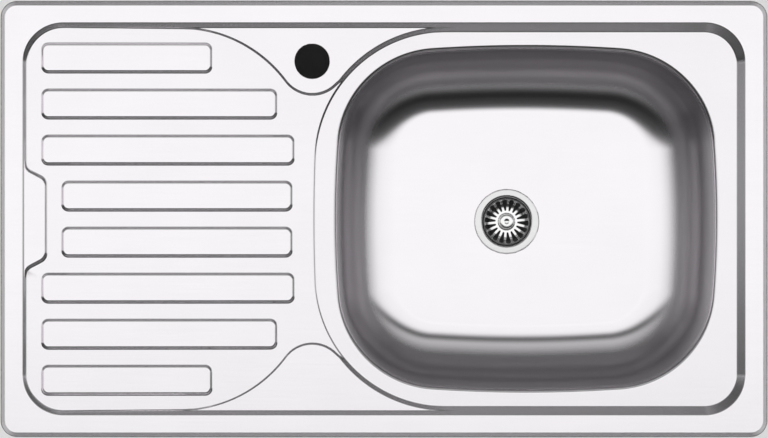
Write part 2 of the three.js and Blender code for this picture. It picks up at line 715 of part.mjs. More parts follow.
const BASKET_RADIUS = WASTE_CUP_RADIUS - HOLE_CLEARANCE;
const BASKET_RIM = -BASKET_RIM_DROP;
const BASKET_FLOOR = -BASKET_FLOOR_DROP;
const BASKET_UNDERSIDE = BASKET_FLOOR - BASKET_THICKNESS;
const HUB_TOP = BASKET_FLOOR + HUB_RISE;
const COLLAR_BOTTOM = BASKET_UNDERSIDE - POST_COLLAR;
const STOPPER_TOP = COLLAR_BOTTOM - GAP;
const STOPPER_BOTTOM = CUP_FLOOR + STOPPER_TRAVEL + GAP;
const POST_BOTTOM = STOPPER_BOTTOM + GAP;
const POST_CEILING = CUP_FLOOR + SCREW_HEAD_HEIGHT + STOPPER_TRAVEL + 2 * GAP;

// Radial slots, each as wide as its share of the spoke circle, all the way up the basket's side.
function basketSlots() {
  const pitch = (2 * Math.PI) / SLOTS;
  const end = BASKET_RADIUS - SLOT_END_MARGIN;
  const half = (radius) => radius * Math.sin((pitch * SLOT_SHARE) / 2);
  const outline = [
    new THREE.Vector2(SLOT_START, -half(SLOT_START)),
    new THREE.Vector2(end - SLOT_CHAMFER, -half(end)),
    new THREE.Vector2(end, SLOT_CHAMFER - half(end)),
    new THREE.Vector2(end, half(end) - SLOT_CHAMFER),
    new THREE.Vector2(end - SLOT_CHAMFER, half(end)),
    new THREE.Vector2(SLOT_START, half(SLOT_START)),
  ];
  const slots = [];
  for (let i = 0; i < SLOTS; i += 1) {
    const slot = prism(outline, BASKET_UNDERSIDE - 1, BASKET_RIM - SLOT_TOP_MARGIN);
    slots.push(solid(slot.rotateZ((i + 0.5) * pitch)));
  }
  return slots;
}

// A shallow dish with a quarter-round side and a raised middle, clamped on the post.
function strainerBasket() {
  const wall = BASKET_THICKNESS;
  const run = BASKET_RADIUS - wall - BASKET_FLAT_RADIUS;
  const rise = BASKET_RIM - BASKET_LIP - BASKET_FLOOR;
  const inside = [];
  const outside = [];
  for (let i = 1; i <= BASKET_SIDE_STEPS; i += 1) {
    const turn = ((i / BASKET_SIDE_STEPS) * Math.PI) / 2;
    const out = run * Math.sin(turn);
    const z = BASKET_FLOOR + rise * (1 - Math.cos(turn));
    inside.unshift([BASKET_FLAT_RADIUS + out, z]);
    outside.push([BASKET_FLAT_RADIUS + out + wall, z - wall * (1 - out / BASKET_FLAT_RADIUS)]);
  }
  const dish = turned(
    [
      [POST_RADIUS + GAP, BASKET_UNDERSIDE],
      [BASKET_FLAT_RADIUS, BASKET_UNDERSIDE],
      ...outside,
      [BASKET_RADIUS, BASKET_RIM],
      [BASKET_RADIUS - wall, BASKET_RIM],
      ...inside,
      [BASKET_FLAT_RADIUS, BASKET_FLOOR],
      [HUB_RADIUS + HUB_BEVEL / 2, BASKET_FLOOR],
      [HUB_RADIUS - HUB_BEVEL / 2, HUB_TOP],
      [POST_RADIUS + GAP, HUB_TOP],
    ],
    2 * SLOTS,
  );
  return cut(solid(dish), basketSlots());
}

function strainerPost() {
  const knobLow = KNOB_RISE - KNOB_HEIGHT;
  return turned(
    [
      [POST_BORE_RADIUS, POST_BOTTOM],
      [POST_RADIUS, POST_BOTTOM],
      [POST_RADIUS, COLLAR_BOTTOM],
      [POST_RADIUS + POST_COLLAR_WIDTH, COLLAR_BOTTOM],
      [POST_RADIUS + POST_COLLAR_WIDTH, BASKET_UNDERSIDE],
      [POST_RADIUS, BASKET_UNDERSIDE],
      [POST_RADIUS, HUB_TOP + POST_SHOULDER],
      [NECK_RADIUS, HUB_TOP + NECK_RISE],
      [NECK_RADIUS, knobLow - KNOB_UNDERCUT],
      [KNOB_RADIUS, knobLow],
      [KNOB_RADIUS, KNOB_RISE - KNOB_CHAMFER],
      [KNOB_RADIUS - KNOB_CHAMFER, KNOB_RISE],
      [DIMPLE_RADIUS, KNOB_RISE],
      [DIMPLE_RADIUS / 2, KNOB_RISE - DIMPLE_DEPTH],
      [0, KNOB_RISE - DIMPLE_DEPTH],
      [0, POST_CEILING],
      [POST_BORE_RADIUS, POST_CEILING],
    ],
    2 * SLOTS,
  );
}

function strainerStopper() {
  return turned([
    [POST_RADIUS + GAP, STOPPER_BOTTOM],
    [STOPPER_RADIUS - STOPPER_CHAMFER, STOPPER_BOTTOM],
    [STOPPER_RADIUS, STOPPER_BOTTOM + STOPPER_CHAMFER],
    [STOPPER_RADIUS, STOPPER_TOP - STOPPER_CHAMFER],
    [STOPPER_RADIUS - STOPPER_CHAMFER, STOPPER_TOP],
    [POST_RADIUS + GAP, STOPPER_TOP],
  ]);
}

function strainerSpringRing() {
  const low = POST_BOTTOM + SPRING_RING_RISE;
  const high = low + SPRING_RING_HEIGHT;
  return ring(SCREW_HEAD_RADIUS + GAP, POST_BORE_RADIUS - GAP, low, high, SCREW_SIDES);
}

// ---------------------------------------------------------------- rim seal and sound pads

// One length of the foam strip, cut at 45 degrees in the middle of the rim's corners.
function sealStrip(quarter) {
  const outer = LIP_RUN + LIP_THICKNESS + GAP;
  const whole = solid(prism(outlinePoints(RIM_OUTLINE, outer), 0, RIM_UNDERSIDE));
  const hollow = solid(prism(outlinePoints(RIM_OUTLINE, outer + SEAL_WIDTH), -1, RIM_HEIGHT));
  const x = HALF_LENGTH - OUTER_CORNER;
  const y = HALF_WIDTH - OUTER_CORNER;
  const back = [
    new THREE.Vector2(y - x, 0),
    new THREE.Vector2(x - y, 0),
    new THREE.Vector2(x + y, 2 * y),
    new THREE.Vector2(-x - y, 2 * y),
  ];
  const side = [
    new THREE.Vector2(x - y, 0),
    new THREE.Vector2(x + y, -2 * y),
    new THREE.Vector2(x + y, 2 * y),
  ];
  const wedge = quarter % 2 ? side : back;
  const turn = quarter < 2 ? 0 : Math.PI;
  return whole.subtract(hollow).intersect(solid(prism(wedge, -1, RIM_HEIGHT).rotateZ(turn)));
}

function soundPad(side) {
  const near = DRAIN.x + side * PAD_TO_DRAIN;
  const far = near + side * PAD_LENGTH;
  const top = FLOOR_Z - SHEET;
  const low = top - PAD_THICKNESS;
  const x0 = Math.min(near, far);
  const x1 = Math.max(near, far);
  const y0 = DRAIN.y - PAD_WIDTH / 2;
  const outline = roundedRectangle(x0, x1, y0, y0 + PAD_WIDTH, PAD_CORNER);
  return prism(outlinePoints(outline, 0), low, top);
}

// ---------------------------------------------------------------- fixing clips
// A clip's own frame: x along the rim, y outwards from the edge of the worktop's opening, z up.

const CLIP_FRONT = -CLIP_SETBACK;
const CLIP_BACK = CLIP_FRONT - CLIP_DEPTH;
const SCREW_Y = (CLIP_BACK + CLIP_FRONT) / 2;
const CLAW_TIP = -WORKTOP - GAP;
const CLAW_TOP = CLAW_TIP - CLAW_HEEL + CLAW_THICKNESS / 2;
const CLAW_BOTTOM = CLAW_TOP - CLAW_THICKNESS;
const HEAD_TOP = CLAW_BOTTOM - GAP;

function clipBracket() {
  const channel = bar(
    [
      [CLIP_BACK, -CLIP_DROP],
      [CLIP_FRONT, -CLIP_DROP],
      [CLIP_FRONT, CLIP_PLATE - CLIP_DROP],
      [CLIP_BACK + CLIP_PLATE, CLIP_PLATE - CLIP_DROP],
      [CLIP_BACK + CLIP_PLATE, RIM_UNDERSIDE - CLIP_PLATE],
      [CLIP_FRONT, RIM_UNDERSIDE - CLIP_PLATE],
      [CLIP_FRONT, RIM_UNDERSIDE],
      [CLIP_BACK, RIM_UNDERSIDE],
    ],
    CLIP_WIDTH,
  );
  const bossTop = CLIP_PLATE - CLIP_DROP + CLIP_BOSS_HEIGHT;
  const boss = rod(CLIP_BOSS_RADIUS, -CLIP_DROP, bossTop, SCREW_SIDES);
  const hole = rod(CLIP_SCREW_RADIUS + HOLE_CLEARANCE, -CLIP_DROP - 1, bossTop + 1, SCREW_SIDES);
  const whole = solid(channel).add(solid(boss.translate(0, SCREW_Y, 0)));
  return whole.subtract(solid(hole.translate(0, SCREW_Y, 0)));
}

function clipScrew() {
  const low = HEAD_TOP - CLIP_HEAD_HEIGHT;
  const shaft = rod(CLIP_SCREW_RADIUS, (low + HEAD_TOP) / 2, HEAD_TOP + CLIP_SCREW_LENGTH, SCREW_SIDES);
  const head = solid(rod(CLIP_HEAD_RADIUS, low, HEAD_TOP, HEXAGON));
  const slot = screwSlot(CLIP_HEAD_RADIUS, low - 1, low + SCREW_SLOT_DEPTH);
  return head.add(solid(shaft)).subtract(slot).translate([0, SCREW_Y, 0]);
}

function clipClaw() {
  const tail = SCREW_Y - CLAW_TAIL;
  const strip = bar(
    [
      [tail, CLAW_BOTTOM],
      [CLAW_REACH, CLAW_BOTTOM],
      [CLAW_REACH, CLAW_TIP],
      [CLAW_REACH - CLAW_THICKNESS, CLAW_TIP],
      [CLAW_REACH - CLAW_THICKNESS, CLAW_TOP],
      [tail + CLAW_THICKNESS, CLAW_TOP],
      [tail + CLAW_THICKNESS, CLAW_TOP + CLAW_THICKNESS],
      [tail, CLAW_TOP + CLAW_THICKNESS],
    ],
    CLAW_WIDTH,
  );
  const hole = rod(CLIP_SCREW_RADIUS + HOLE_CLEARANCE, CLAW_BOTTOM - 1, CLAW_TOP + 1, SCREW_SIDES);
  const corners = [
    new THREE.Vector2(0, -TOOTH_DEPTH),
    new THREE.Vector2(TOOTH_WIDTH / 2, 1),
    new THREE.Vector2(-TOOTH_WIDTH / 2, 1),
  ];
  const notches = [-1, 1].map((side) => {
    const notch = prism(corners, 0, 2 * CLAW_THICKNESS).rotateX(Math.PI / 2);
    return solid(notch.translate((side * CLAW_WIDTH) / 4, CLAW_REACH + 1, CLAW_TIP));
  });
  return cut(solid(strip), [solid(hole.translate(0, SCREW_Y, 0)), ...notches]);
}

function clipRetainer() {
  const low = CLAW_TOP + GAP;
  const washer = ring(CLIP_SCREW_RADIUS + GAP, RETAINER_RADIUS, low, low + RETAINER_THICKNESS, SCREW_SIDES);
  return washer.translate(0, SCREW_Y, 0);
}

// ---------------------------------------------------------------- assembly

const STAINLESS = { color: 0xd9dadb, roughness: 0.28, metalness: 1 };
const BRIGHT_STEEL = { color: 0xe4e5e6, roughness: 0.16, metalness: 1 };
const ZINC_STEEL = { color: 0xb9bcbe, roughness: 0.42, metalness: 1 };
const RUBBER = { color: 0x1d1d1e, roughness: 0.85, metalness: 0 };
const WHITE_PLASTIC = { color: 0xe9e9e6, roughness: 0.45, metalness: 0 };
const FOAM = { color: 0x3a3b3d, roughness: 0.95, metalness: 0 };
const BITUMEN = { color: 0x2c2b2a, roughness: 0.9, metalness: 0 };

const sink = new THREE.Group();

function place(parent, name, shape, finish) {
  const geometry = shape.isBufferGeometry ? shape : geometryOf(shape);
  const mesh = new THREE.Mesh(geometry, new THREE.MeshStandardMaterial(finish));
  mesh.name = name;
  parent.add(mesh);
}

place(sink, "sink_shell", sinkShell(), STAINLESS);
["back", "right", "front", "left"].forEach((side, quarter) => {
  place(sink, `rim_seal_${side}`, sealStrip(quarter), FOAM);
});
place(sink, "bowl_sound_pad_left", soundPad(-1), BITUMEN);
place(sink, "bowl_sound_pad_right", soundPad(1), BITUMEN);

const waste = new THREE.Group();
waste.position.set(DRAIN.x, DRAIN.y, FLANGE_TOP);
sink.add(waste);
place(waste, "waste_flange", wasteFlange(), BRIGHT_STEEL);
place(waste, "waste_top_seal", wasteTopSeal(), RUBBER);
place(waste, "waste_bottom_seal", wasteBottomSeal(), RUBBER);
place(waste, "waste_body", wasteBody(), WHITE_PLASTIC);
place(waste, "waste_screw", wasteScrew(), BRIGHT_STEEL);
place(waste, "strainer_basket", strainerBasket(), BRIGHT_STEEL);
place(waste, "strainer_post", strainerPost(), BRIGHT_STEEL);
place(waste, "strainer_stopper", strainerStopper(), RUBBER);
place(waste, "strainer_spring_ring", strainerSpringRing(), BRIGHT_STEEL);

const CLIP_X = HALF_LENGTH - CLIP_TO_END;
const CUTOUT_X = HALF_LENGTH - CUTOUT_MARGIN;
const CUTOUT_Y = HALF_WIDTH - CUTOUT_MARGIN;
const CLIPS = [
  { name: "back_left", x: -CLIP_X, y: CUTOUT_Y, turn: 0 },
  { name: "back_right", x: CLIP_X, y: CUTOUT_Y, turn: 0 },
  { name: "front_left", x: -CLIP_X, y: -CUTOUT_Y, turn: 180 },
  { name: "front_right", x: CLIP_X, y: -CUTOUT_Y, turn: 180 },
  { name: "left_end", x: -CUTOUT_X, y: 0, turn: 90 },
  { name: "right_end", x: CUTOUT_X, y: 0, turn: -90 },
];
for (const { name, x, y, turn } of CLIPS) {
  const clip = new THREE.Group();
  clip.position.set(x, y, 0);
  clip.rotation.z = turn * RADIANS;
  sink.add(clip);
  place(clip, `clip_${name}_bracket`, clipBracket(), ZINC_STEEL);
  place(clip, `clip_${name}_screw`, clipScrew(), ZINC_STEEL);
  place(clip, `clip_${name}_claw`, clipClaw(), ZINC_STEEL);
  place(clip, `clip_${name}_retainer`, clipRetainer(), ZINC_STEEL);
}

export default sink;
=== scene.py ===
"""Looks of an inset stainless kitchen sink: a ribbed drainer on the left, a deep bowl with a basket
strainer on the right. Shapes are worked out in millimetres in the frame of the CAD model, +Z up."""

import json
import math

import bmesh
import bpy
import numpy as np
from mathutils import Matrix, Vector
from mathutils.geometry import delaunay_2d_cdt


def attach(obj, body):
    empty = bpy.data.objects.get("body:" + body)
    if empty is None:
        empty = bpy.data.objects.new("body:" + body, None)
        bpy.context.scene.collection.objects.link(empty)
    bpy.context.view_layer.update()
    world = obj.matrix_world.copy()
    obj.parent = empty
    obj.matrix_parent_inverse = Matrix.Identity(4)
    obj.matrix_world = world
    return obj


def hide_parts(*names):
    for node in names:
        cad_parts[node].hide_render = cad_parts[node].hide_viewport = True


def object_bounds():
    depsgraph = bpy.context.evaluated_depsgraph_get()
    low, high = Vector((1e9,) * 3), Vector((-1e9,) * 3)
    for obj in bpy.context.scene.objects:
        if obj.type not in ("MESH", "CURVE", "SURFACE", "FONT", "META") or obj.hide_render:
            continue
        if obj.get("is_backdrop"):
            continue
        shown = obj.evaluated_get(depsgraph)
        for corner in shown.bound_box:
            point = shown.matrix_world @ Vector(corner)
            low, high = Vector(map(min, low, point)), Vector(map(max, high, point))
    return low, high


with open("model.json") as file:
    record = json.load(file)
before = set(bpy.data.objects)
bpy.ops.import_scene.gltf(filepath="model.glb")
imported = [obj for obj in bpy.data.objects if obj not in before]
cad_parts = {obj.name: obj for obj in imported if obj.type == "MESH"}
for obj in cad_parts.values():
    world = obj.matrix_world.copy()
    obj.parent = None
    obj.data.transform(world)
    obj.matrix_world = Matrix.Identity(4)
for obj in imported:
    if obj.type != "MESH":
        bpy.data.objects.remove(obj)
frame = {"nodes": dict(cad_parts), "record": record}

CAD_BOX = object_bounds()
MM = 0.001
# Millimetres: what counts as nothing, what counts as touching, and what keeps a divisor off zero.
TINY = 1e-6
TOUCHING = 1e-3
NEVER_ZERO = 1e-9

# ------------------------------------------------------------------ sizes, as in the CAD model

HALF_LENGTH = 382.5
HALF_WIDTH = 217.5
OUTER_CORNER = 16.5
RIM_Z = 6.0
SHEET = 0.8
RECESS_X = 360.3
RECESS_Y = 195.3
RECESS_CORNER = 40.7
LEDGE_Z = 1.7
TAB_Z = 4.2
SURROUND_Z = -2.1
DRAINER_FAR_Z = 2.4
DRAINER_NEAR_Z = -0.8
SURROUND_FOOT_X = -69.3

BOWL_X = 141.9
BOWL_HALF_LENGTH = 193.8
BOWL_HALF_WIDTH = 174.4
BOWL_CORNER = 104.4
BOWL_SIDE_CROWN = 1000.0
BOWL_FRONT_CROWN = 1396.0
BOWL_DEPTH = 150.0
BOWL_DRAFT = math.radians(2.5)
MOUTH_FILLET = 4.5
FLOOR_FILLET = 55.5
FLOOR_Z = SURROUND_Z - BOWL_DEPTH

SURROUND_DROP = 8.1
SURROUND_CORNER = 130.0
SURROUND_SIDE_CROWN = 1700.0

TAP = (-71.7, 157.3)
TAP_HOLE_RADIUS = 17.5
TAP_LEDGE = 27.9
SWEEP_RADIUS = 136.0
LEDGE_HOOK = 40.0
LEDGE_HOOK_ANGLE = 45.0

TAB_WIDTH = 20.3
TAB_HALF_LENGTH = 55.6
TAB_BEND_ANGLE = 62.0
TAB_OUTER_BEND = 12.4
TAB_INNER_BEND = 7.0

RIB_PITCH = 45.9
RIB_HALF_WIDTH = 14.95
RIB_HEIGHT = 2.05
RIB_CORNER = 7.0
RIB_START = -341.6
RIB_ROWS = [(0.0, -171.5), (0.0, -106.65), (0.0, -89.4), (20.0, -91.4)]

DRAIN = (128.3, -2.7)
FLANGE_TOP = -151.6
FLANGE_RECESS_RADIUS = 33.8
FLANGE_RECESS_DEPTH = 2.0
RECESS_FOLD = 0.3
WASTE_HOLE_RADIUS = 26.0

FILLET = 0.75
RIB_FILLET = 0.75
LEDGE_STEEPNESS = 1.9

# How far round a rib its height is worked out, and how far the lands' levels are laid out past
# their own edges, where other levels hide them.
RIB_MARGIN = 5.0
TAB_LAND_REACH_X = 40.0
TAB_LAND_REACH_Y = 20.0
LAND_OVERLAP = 1.0
NO_LAND_Z = RIM_Z + 6.0

# The rim's edge: where its flat ends, the sloping lip (lean in degrees), and the rolled hem.
DECK_EDGE = 7.5
LIP_LEAN = 42.0
LIP_FOLD = 0.35
HEM_FOLD = 3.0
HEM_TOP = 0.4
HEM_GAP = 0.05
TAP_EDGE = 0.4

# ------------------------------------------------------------------ spacing of the sheet's points
# Insets of the rows of points that follow each fold, and how near a row must be to its fold, and
# how far from the recess's, to be kept.

RECESS_INSETS = np.arange(-1.0, 9.3, 0.42)
STEP_INSETS = np.arange(-0.9, 9.3, 0.42)
RIB_INSETS = np.arange(-0.9, 3.5, 0.35)
FOLD_REACH = 1.3
FOLDS_APART = 0.35

# Spacing along outlines: millimetres and degrees from point to point, the least turn in degrees,
# and how many times wider the points of a straight side stand.
FINE = {"step": 3.0, "turn_step": 2.5}
LEAST_TURN = 0.2
CHORD_STEPS = 4

# Points closer than this are one: in the plane, in millimetres, and in the mesh, in metres.
MERGE = 1e-4
WELD = 2e-6

# ------------------------------------------------------------------ outlines
# An outline is a closed anticlockwise chain of arcs (x, y, r, from, to) in millimetres and degrees.


def rounded_rectangle(x0, x1, y0, y1, r):
    return [
        (x1 - r, y0 + r, r, -90, 0),
        (x1 - r, y1 - r, r, 0, 90),
        (x0 + r, y1 - r, r, 90, 180),
        (x0 + r, y0 + r, r, 180, 270),
    ]


def crowned_rectangle(x, half_x, half_y, r, side_crown, front_crown):
    """A rounded rectangle whose sides are shallow arcs that run smoothly into its corners."""
    side = np.array([half_x - side_crown, 0.0])
    front = np.array([0.0, half_y - front_crown])
    between = front - side
    apart = np.hypot(*between)
    along = (apart**2 + (side_crown - r) ** 2 - (front_crown - r) ** 2) / (2 * apart)
    across = math.sqrt((side_crown - r) ** 2 - along**2)
    unit = between / apart
    corner = side + unit * along + np.array([-unit[1], unit[0]]) * across
    low = math.degrees(math.atan2(corner[1], corner[0] - side[0]))
    high = math.degrees(math.atan2(corner[1] - front[1], corner[0]))
    return [
        (x + side[0], 0, side_crown, -low, low),
        (x + corner[0], corner[1], r, low, high),
        (x, front[1], front_crown, high, 180 - high),
        (x - corner[0], corner[1], r, 180 - high, 180 - low),
        (x - side[0], 0, side_crown, 180 - low, 180 + low),
        (x - corner[0], -corner[1], r, 180 + low, 180 + high),
        (x, -front[1], front_crown, 180 + high, 360 - high),
        (x + corner[0], -corner[1], r, 360 - high, 360 - low),
    ]


def surround_outline():
    """The edge of the bowl's sunken surround at the height of the rim."""
    corner = SURROUND_CORNER + SURROUND_DROP
    crown = SURROUND_SIDE_CROWN + SURROUND_DROP
    crown_x = SURROUND_FOOT_X - SURROUND_DROP + crown
    y = RECESS_Y - corner
    x = crown_x - math.sqrt((crown - corner) ** 2 - y**2)
    turn = math.degrees(math.atan2(y, crown_x - x))
    end = RECESS_X - RECESS_CORNER
    return [
        (end, RECESS_CORNER - RECESS_Y, RECESS_CORNER, -90, 0),
        (end, RECESS_Y - RECESS_CORNER, RECESS_CORNER, 0, 90),
        (x, y, corner, 90, 180 - turn),
        (crown_x, 0, crown, 180 - turn, 180 + turn),
        (x, -y, corner, 180 + turn, 270),
    ]


def tab_bends():
    """The two double bends where the drainer's outline steps in round the tab land."""
    bend = math.radians(TAB_BEND_ANGLE)
    bends = TAB_OUTER_BEND + TAB_INNER_BEND
    slant = TAB_WIDTH - bends * (1 - math.cos(bend))
    drop = bends * math.sin(bend) + slant / math.tan(bend)
    outer_x = TAB_OUTER_BEND - RECESS_X
    inner_x = TAB_WIDTH - TAB_INNER_BEND - RECESS_X
    inner_y = TAB_HALF_LENGTH - drop
    return [
        (outer_x, TAB_HALF_LENGTH, TAB_OUTER_BEND, 180, 180 + TAB_BEND_ANGLE),
        (inner_x, inner_y, TAB_INNER_BEND, TAB_BEND_ANGLE, 0),
        (inner_x, -inner_y, TAB_INNER_BEND, 0, -TAB_BEND_ANGLE),
        (outer_x, -TAB_HALF_LENGTH, TAB_OUTER_BEND, 180 - TAB_BEND_ANGLE, 180),
    ]


def sweep_centre():
    """Centre and turn of the sweep that joins the recess to the tap hole's round ledge."""
    y = RECESS_Y - SWEEP_RADIUS
    reach = SWEEP_RADIUS + TAP_LEDGE
    turn = math.asin((TAP[1] - y) / reach)
    return TAP[0] - reach * math.cos(turn), y, math.degrees(turn)


def drainer_outline():
    """The drainer's edge at the height of the rim; its right part lies inside the surround."""
    sweep_x, sweep_y, turn = sweep_centre()
    hook = (TAP_LEDGE + LEDGE_HOOK) * math.cos(math.radians(LEDGE_HOOK_ANGLE))
    hook_x, hook_y = TAP[0] + hook, TAP[1] - hook
    corner_x, corner_y = RECESS_CORNER - RECESS_X, RECESS_Y - RECESS_CORNER
    return [
        (corner_x, -corner_y, RECESS_CORNER, 180, 270),
        (sweep_x, -sweep_y, SWEEP_RADIUS, -90, -turn),
        (TAP[0], -TAP[1], TAP_LEDGE, 180 - turn, LEDGE_HOOK_ANGLE),
        (hook_x, -hook_y, LEDGE_HOOK, 180 + LEDGE_HOOK_ANGLE, 360),
        (hook_x, hook_y, LEDGE_HOOK, 0, 180 - LEDGE_HOOK_ANGLE),
        (TAP[0], TAP[1], TAP_LEDGE, -LEDGE_HOOK_ANGLE, turn - 180),
        (sweep_x, sweep_y, SWEEP_RADIUS, turn, 90),
        (corner_x, corner_y, RECESS_CORNER, 90, 180),
    ] + tab_bends()


RIM = rounded_rectangle(-HALF_LENGTH, HALF_LENGTH, -HALF_WIDTH, HALF_WIDTH, OUTER_CORNER)
RECESS = rounded_rectangle(-RECESS_X, RECESS_X, -RECESS_Y, RECESS_Y, RECESS_CORNER)
SURROUND = surround_outline()
DRAINER = drainer_outline()
BOWL = crowned_rectangle(
    BOWL_X, BOWL_HALF_LENGTH, BOWL_HALF_WIDTH, BOWL_CORNER, BOWL_SIDE_CROWN, BOWL_FRONT_CROWN
)
RIBS = []
for row, (rib_inset, rib_end) in enumerate(RIB_ROWS):
    rib_y = RIB_PITCH * (len(RIB_ROWS) - row - 0.5)
    for side in (1, -1):
        low, high = side * rib_y - RIB_HALF_WIDTH, side * rib_y + RIB_HALF_WIDTH
        RIBS.append(rounded_rectangle(RIB_START + rib_inset, rib_end, low, high, RIB_CORNER))


def circle(x, y, r):
    return [(x, y, r, 0, 360)]


def arc_point(arc, angle, inset=0.0):
    """A point on an arc moved inwards by inset, and the unit vector that points inwards there."""
    x, y, r, start, stop = arc
    side = 1 if stop > start else -1
    c, s = math.cos(math.radians(angle)), math.sin(math.radians(angle))
    return x + (r - side * inset) * c, y + (r - side * inset) * s, -side * c, -side * s


def outline_points(arcs, inset=0.0, step=3.0, turn_step=5.0):
    """Rows of x, y, nx, ny along an outline moved inwards. Their number doesn't depend on inset."""
    rows = []
    for i, arc in enumerate(arcs):
        following = arcs[(i + 1) % len(arcs)]
        sweep = arc[4] - arc[3]
        length = math.radians(abs(sweep)) * arc[2]
        count = max(2, math.ceil(length / step), math.ceil(abs(sweep) / turn_step))
        count = min(count, max(2, math.ceil(abs(sweep) / LEAST_TURN)))
        for k in range(count + 1):
            rows.append(arc_point(arc, arc[3] + sweep * k / count, inset))
        nominal = np.array(arc_point(arc, arc[4])[:2]) - arc_point(following, following[3])[:2]
        gap = math.hypot(*nominal)
        if gap < TOUCHING:
            rows.pop()
            continue
        a, b = np.array(rows[-1]), np.array(arc_point(following, following[3], inset))
        parts = math.ceil(gap / (CHORD_STEPS * step))
        for k in range(1, parts):
            rows.append(tuple(a + (b - a) * k / parts))
    return np.array(rows)


def depth_inside(arcs, x, y):
    """How far inside an outline each point is, with the unit vector that points further in."""
    best = np.full(x.shape, np.inf)
    depth, gx, gy = np.zeros(x.shape), np.zeros(x.shape), np.zeros(x.shape)

    def keep(near, value, vx, vy):
        near = near & (np.abs(value) < best)
        best[near] = np.abs(value)[near]
        depth[near] = value[near]
        gx[near] = vx[near] if isinstance(vx, np.ndarray) else vx
        gy[near] = vy[near] if isinstance(vy, np.ndarray) else vy

    for i, arc in enumerate(arcs):
        cx, cy, r, start, stop = arc
        side = 1 if stop > start else -1
        dx, dy = x - cx, y - cy
        reach = np.hypot(dx, dy) + NEVER_ZERO
        turn = (np.degrees(np.arctan2(dy, dx)) - min(start, stop) + TOUCHING) % 360
        on_arc = turn <= abs(stop - start) + 2 * TOUCHING
        keep(on_arc, side * (r - reach), -side * dx / reach, -side * dy / reach)
        following = arcs[(i + 1) % len(arcs)]
        ax, ay = arc_point(arc, stop)[:2]
        bx, by = arc_point(following, following[3])[:2]
        length = math.hypot(bx - ax, by - ay)
        if length < TOUCHING:
            continue
        ux, uy = (bx - ax) / length, (by - ay) / length
        along = (x - ax) * ux + (y - ay) * uy
        on_line = (along >= -TOUCHING) & (along <= length + TOUCHING)
        keep(on_line, (y - ay) * ux - (x - ax) * uy, -uy, ux)
    return depth, gx, gy


# ------------------------------------------------------------------ heights of the pressed sheet
# A field is (height, slope in x, slope in y). Where two fields cross, the fold is rounded.


def smooth_max(a, b, width=FILLET):
    fold = np.hypot(a[1] - b[1], a[2] - b[2]) * width + TINY
    share = np.clip(0.5 + 0.5 * (a[0] - b[0]) / fold, 0, 1)
    height = b[0] + (a[0] - b[0]) * share + fold * share * (1 - share)
    return height, b[1] + (a[1] - b[1]) * share, b[2] + (a[2] - b[2]) * share


def smooth_min(a, b, width=FILLET):
    high = smooth_max(tuple(-v for v in a), tuple(-v for v in b), width)
    return tuple(-v for v in high)


def level(z, x):
    """A flat field over the points x, at one height or at a height for each point."""
    height = np.full(x.shape, float(z)) if np.isscalar(z) else z
    return height, np.zeros(x.shape), np.zeros(x.shape)


def step_down(arcs, x, y, low_steepness=1.0):
    """The 45 degree slope that falls inwards from an outline at the height of the rim. Below the
    ledge it can be steeper."""
    depth, gx, gy = depth_inside(arcs, x, y)
    below = np.maximum(depth - (RIM_Z - LEDGE_Z), 0)
    steepness = np.where(below > 0, low_steepness, 1.0)
    return RIM_Z - depth - below * (low_steepness - 1), -gx * steepness, -gy * steepness


def drainer_ground(x, y):
    """The sloping floor of the drainer with its raised ribs."""
    slope = (DRAINER_NEAR_Z - DRAINER_FAR_Z) / (SURROUND_FOOT_X + RECESS_X)
    floor = DRAINER_FAR_Z + slope * (x + RECESS_X)
    rise, rise_x, rise_y = level(0.0, x)
    reach = RIB_CORNER + RIB_MARGIN
    for rib in RIBS:
        x0, x1 = rib[2][0] - reach, rib[0][0] + reach
        y0, y1 = rib[0][1] - reach, rib[1][1] + reach
        near = (x > x0) & (x < x1) & (y > y0) & (y < y1)
        side = depth_inside(rib, x[near], y[near])
        shape = smooth_min(side, level(RIB_HEIGHT, side[0]), RIB_FILLET)
        shape = smooth_max(shape, level(0.0, side[0]), RIB_FILLET)
        rise[near], rise_x[near], rise_y[near] = shape
    return floor + rise, rise_x + slope, rise_y


def land_level(x, y):
    """Level of the lands between the hollows, put out of the way, high up, where none shows."""
    land = np.full(x.shape, NO_LAND_Z)
    by_tab = np.abs(y) < TAB_HALF_LENGTH + TAB_LAND_REACH_Y
    land[(x < RIB_START + TAB_LAND_REACH_X) & by_tab] = TAB_Z
    outside = depth_inside(DRAINER, x, y)[0] < RIM_Z - LEDGE_Z + LAND_OVERLAP
    land[(x > sweep_centre()[0]) & (x < SURROUND[2][0]) & outside] = LEDGE_Z
    return land


def deck_field(x, y):
    """The height field of the whole pressed top, apart from the bowl and the lip."""
    drainer = smooth_max(step_down(DRAINER, x, y, LEDGE_STEEPNESS), drainer_ground(x, y))
    surround = smooth_max(step_down(SURROUND, x, y), level(SURROUND_Z, x))
    ground = smooth_min(level(land_level(x, y), x), smooth_min(drainer, surround))
    inside = smooth_max(step_down(RECESS, x, y), ground)
    return smooth_min(inside, level(RIM_Z, x))


# ------------------------------------------------------------------ mesh making


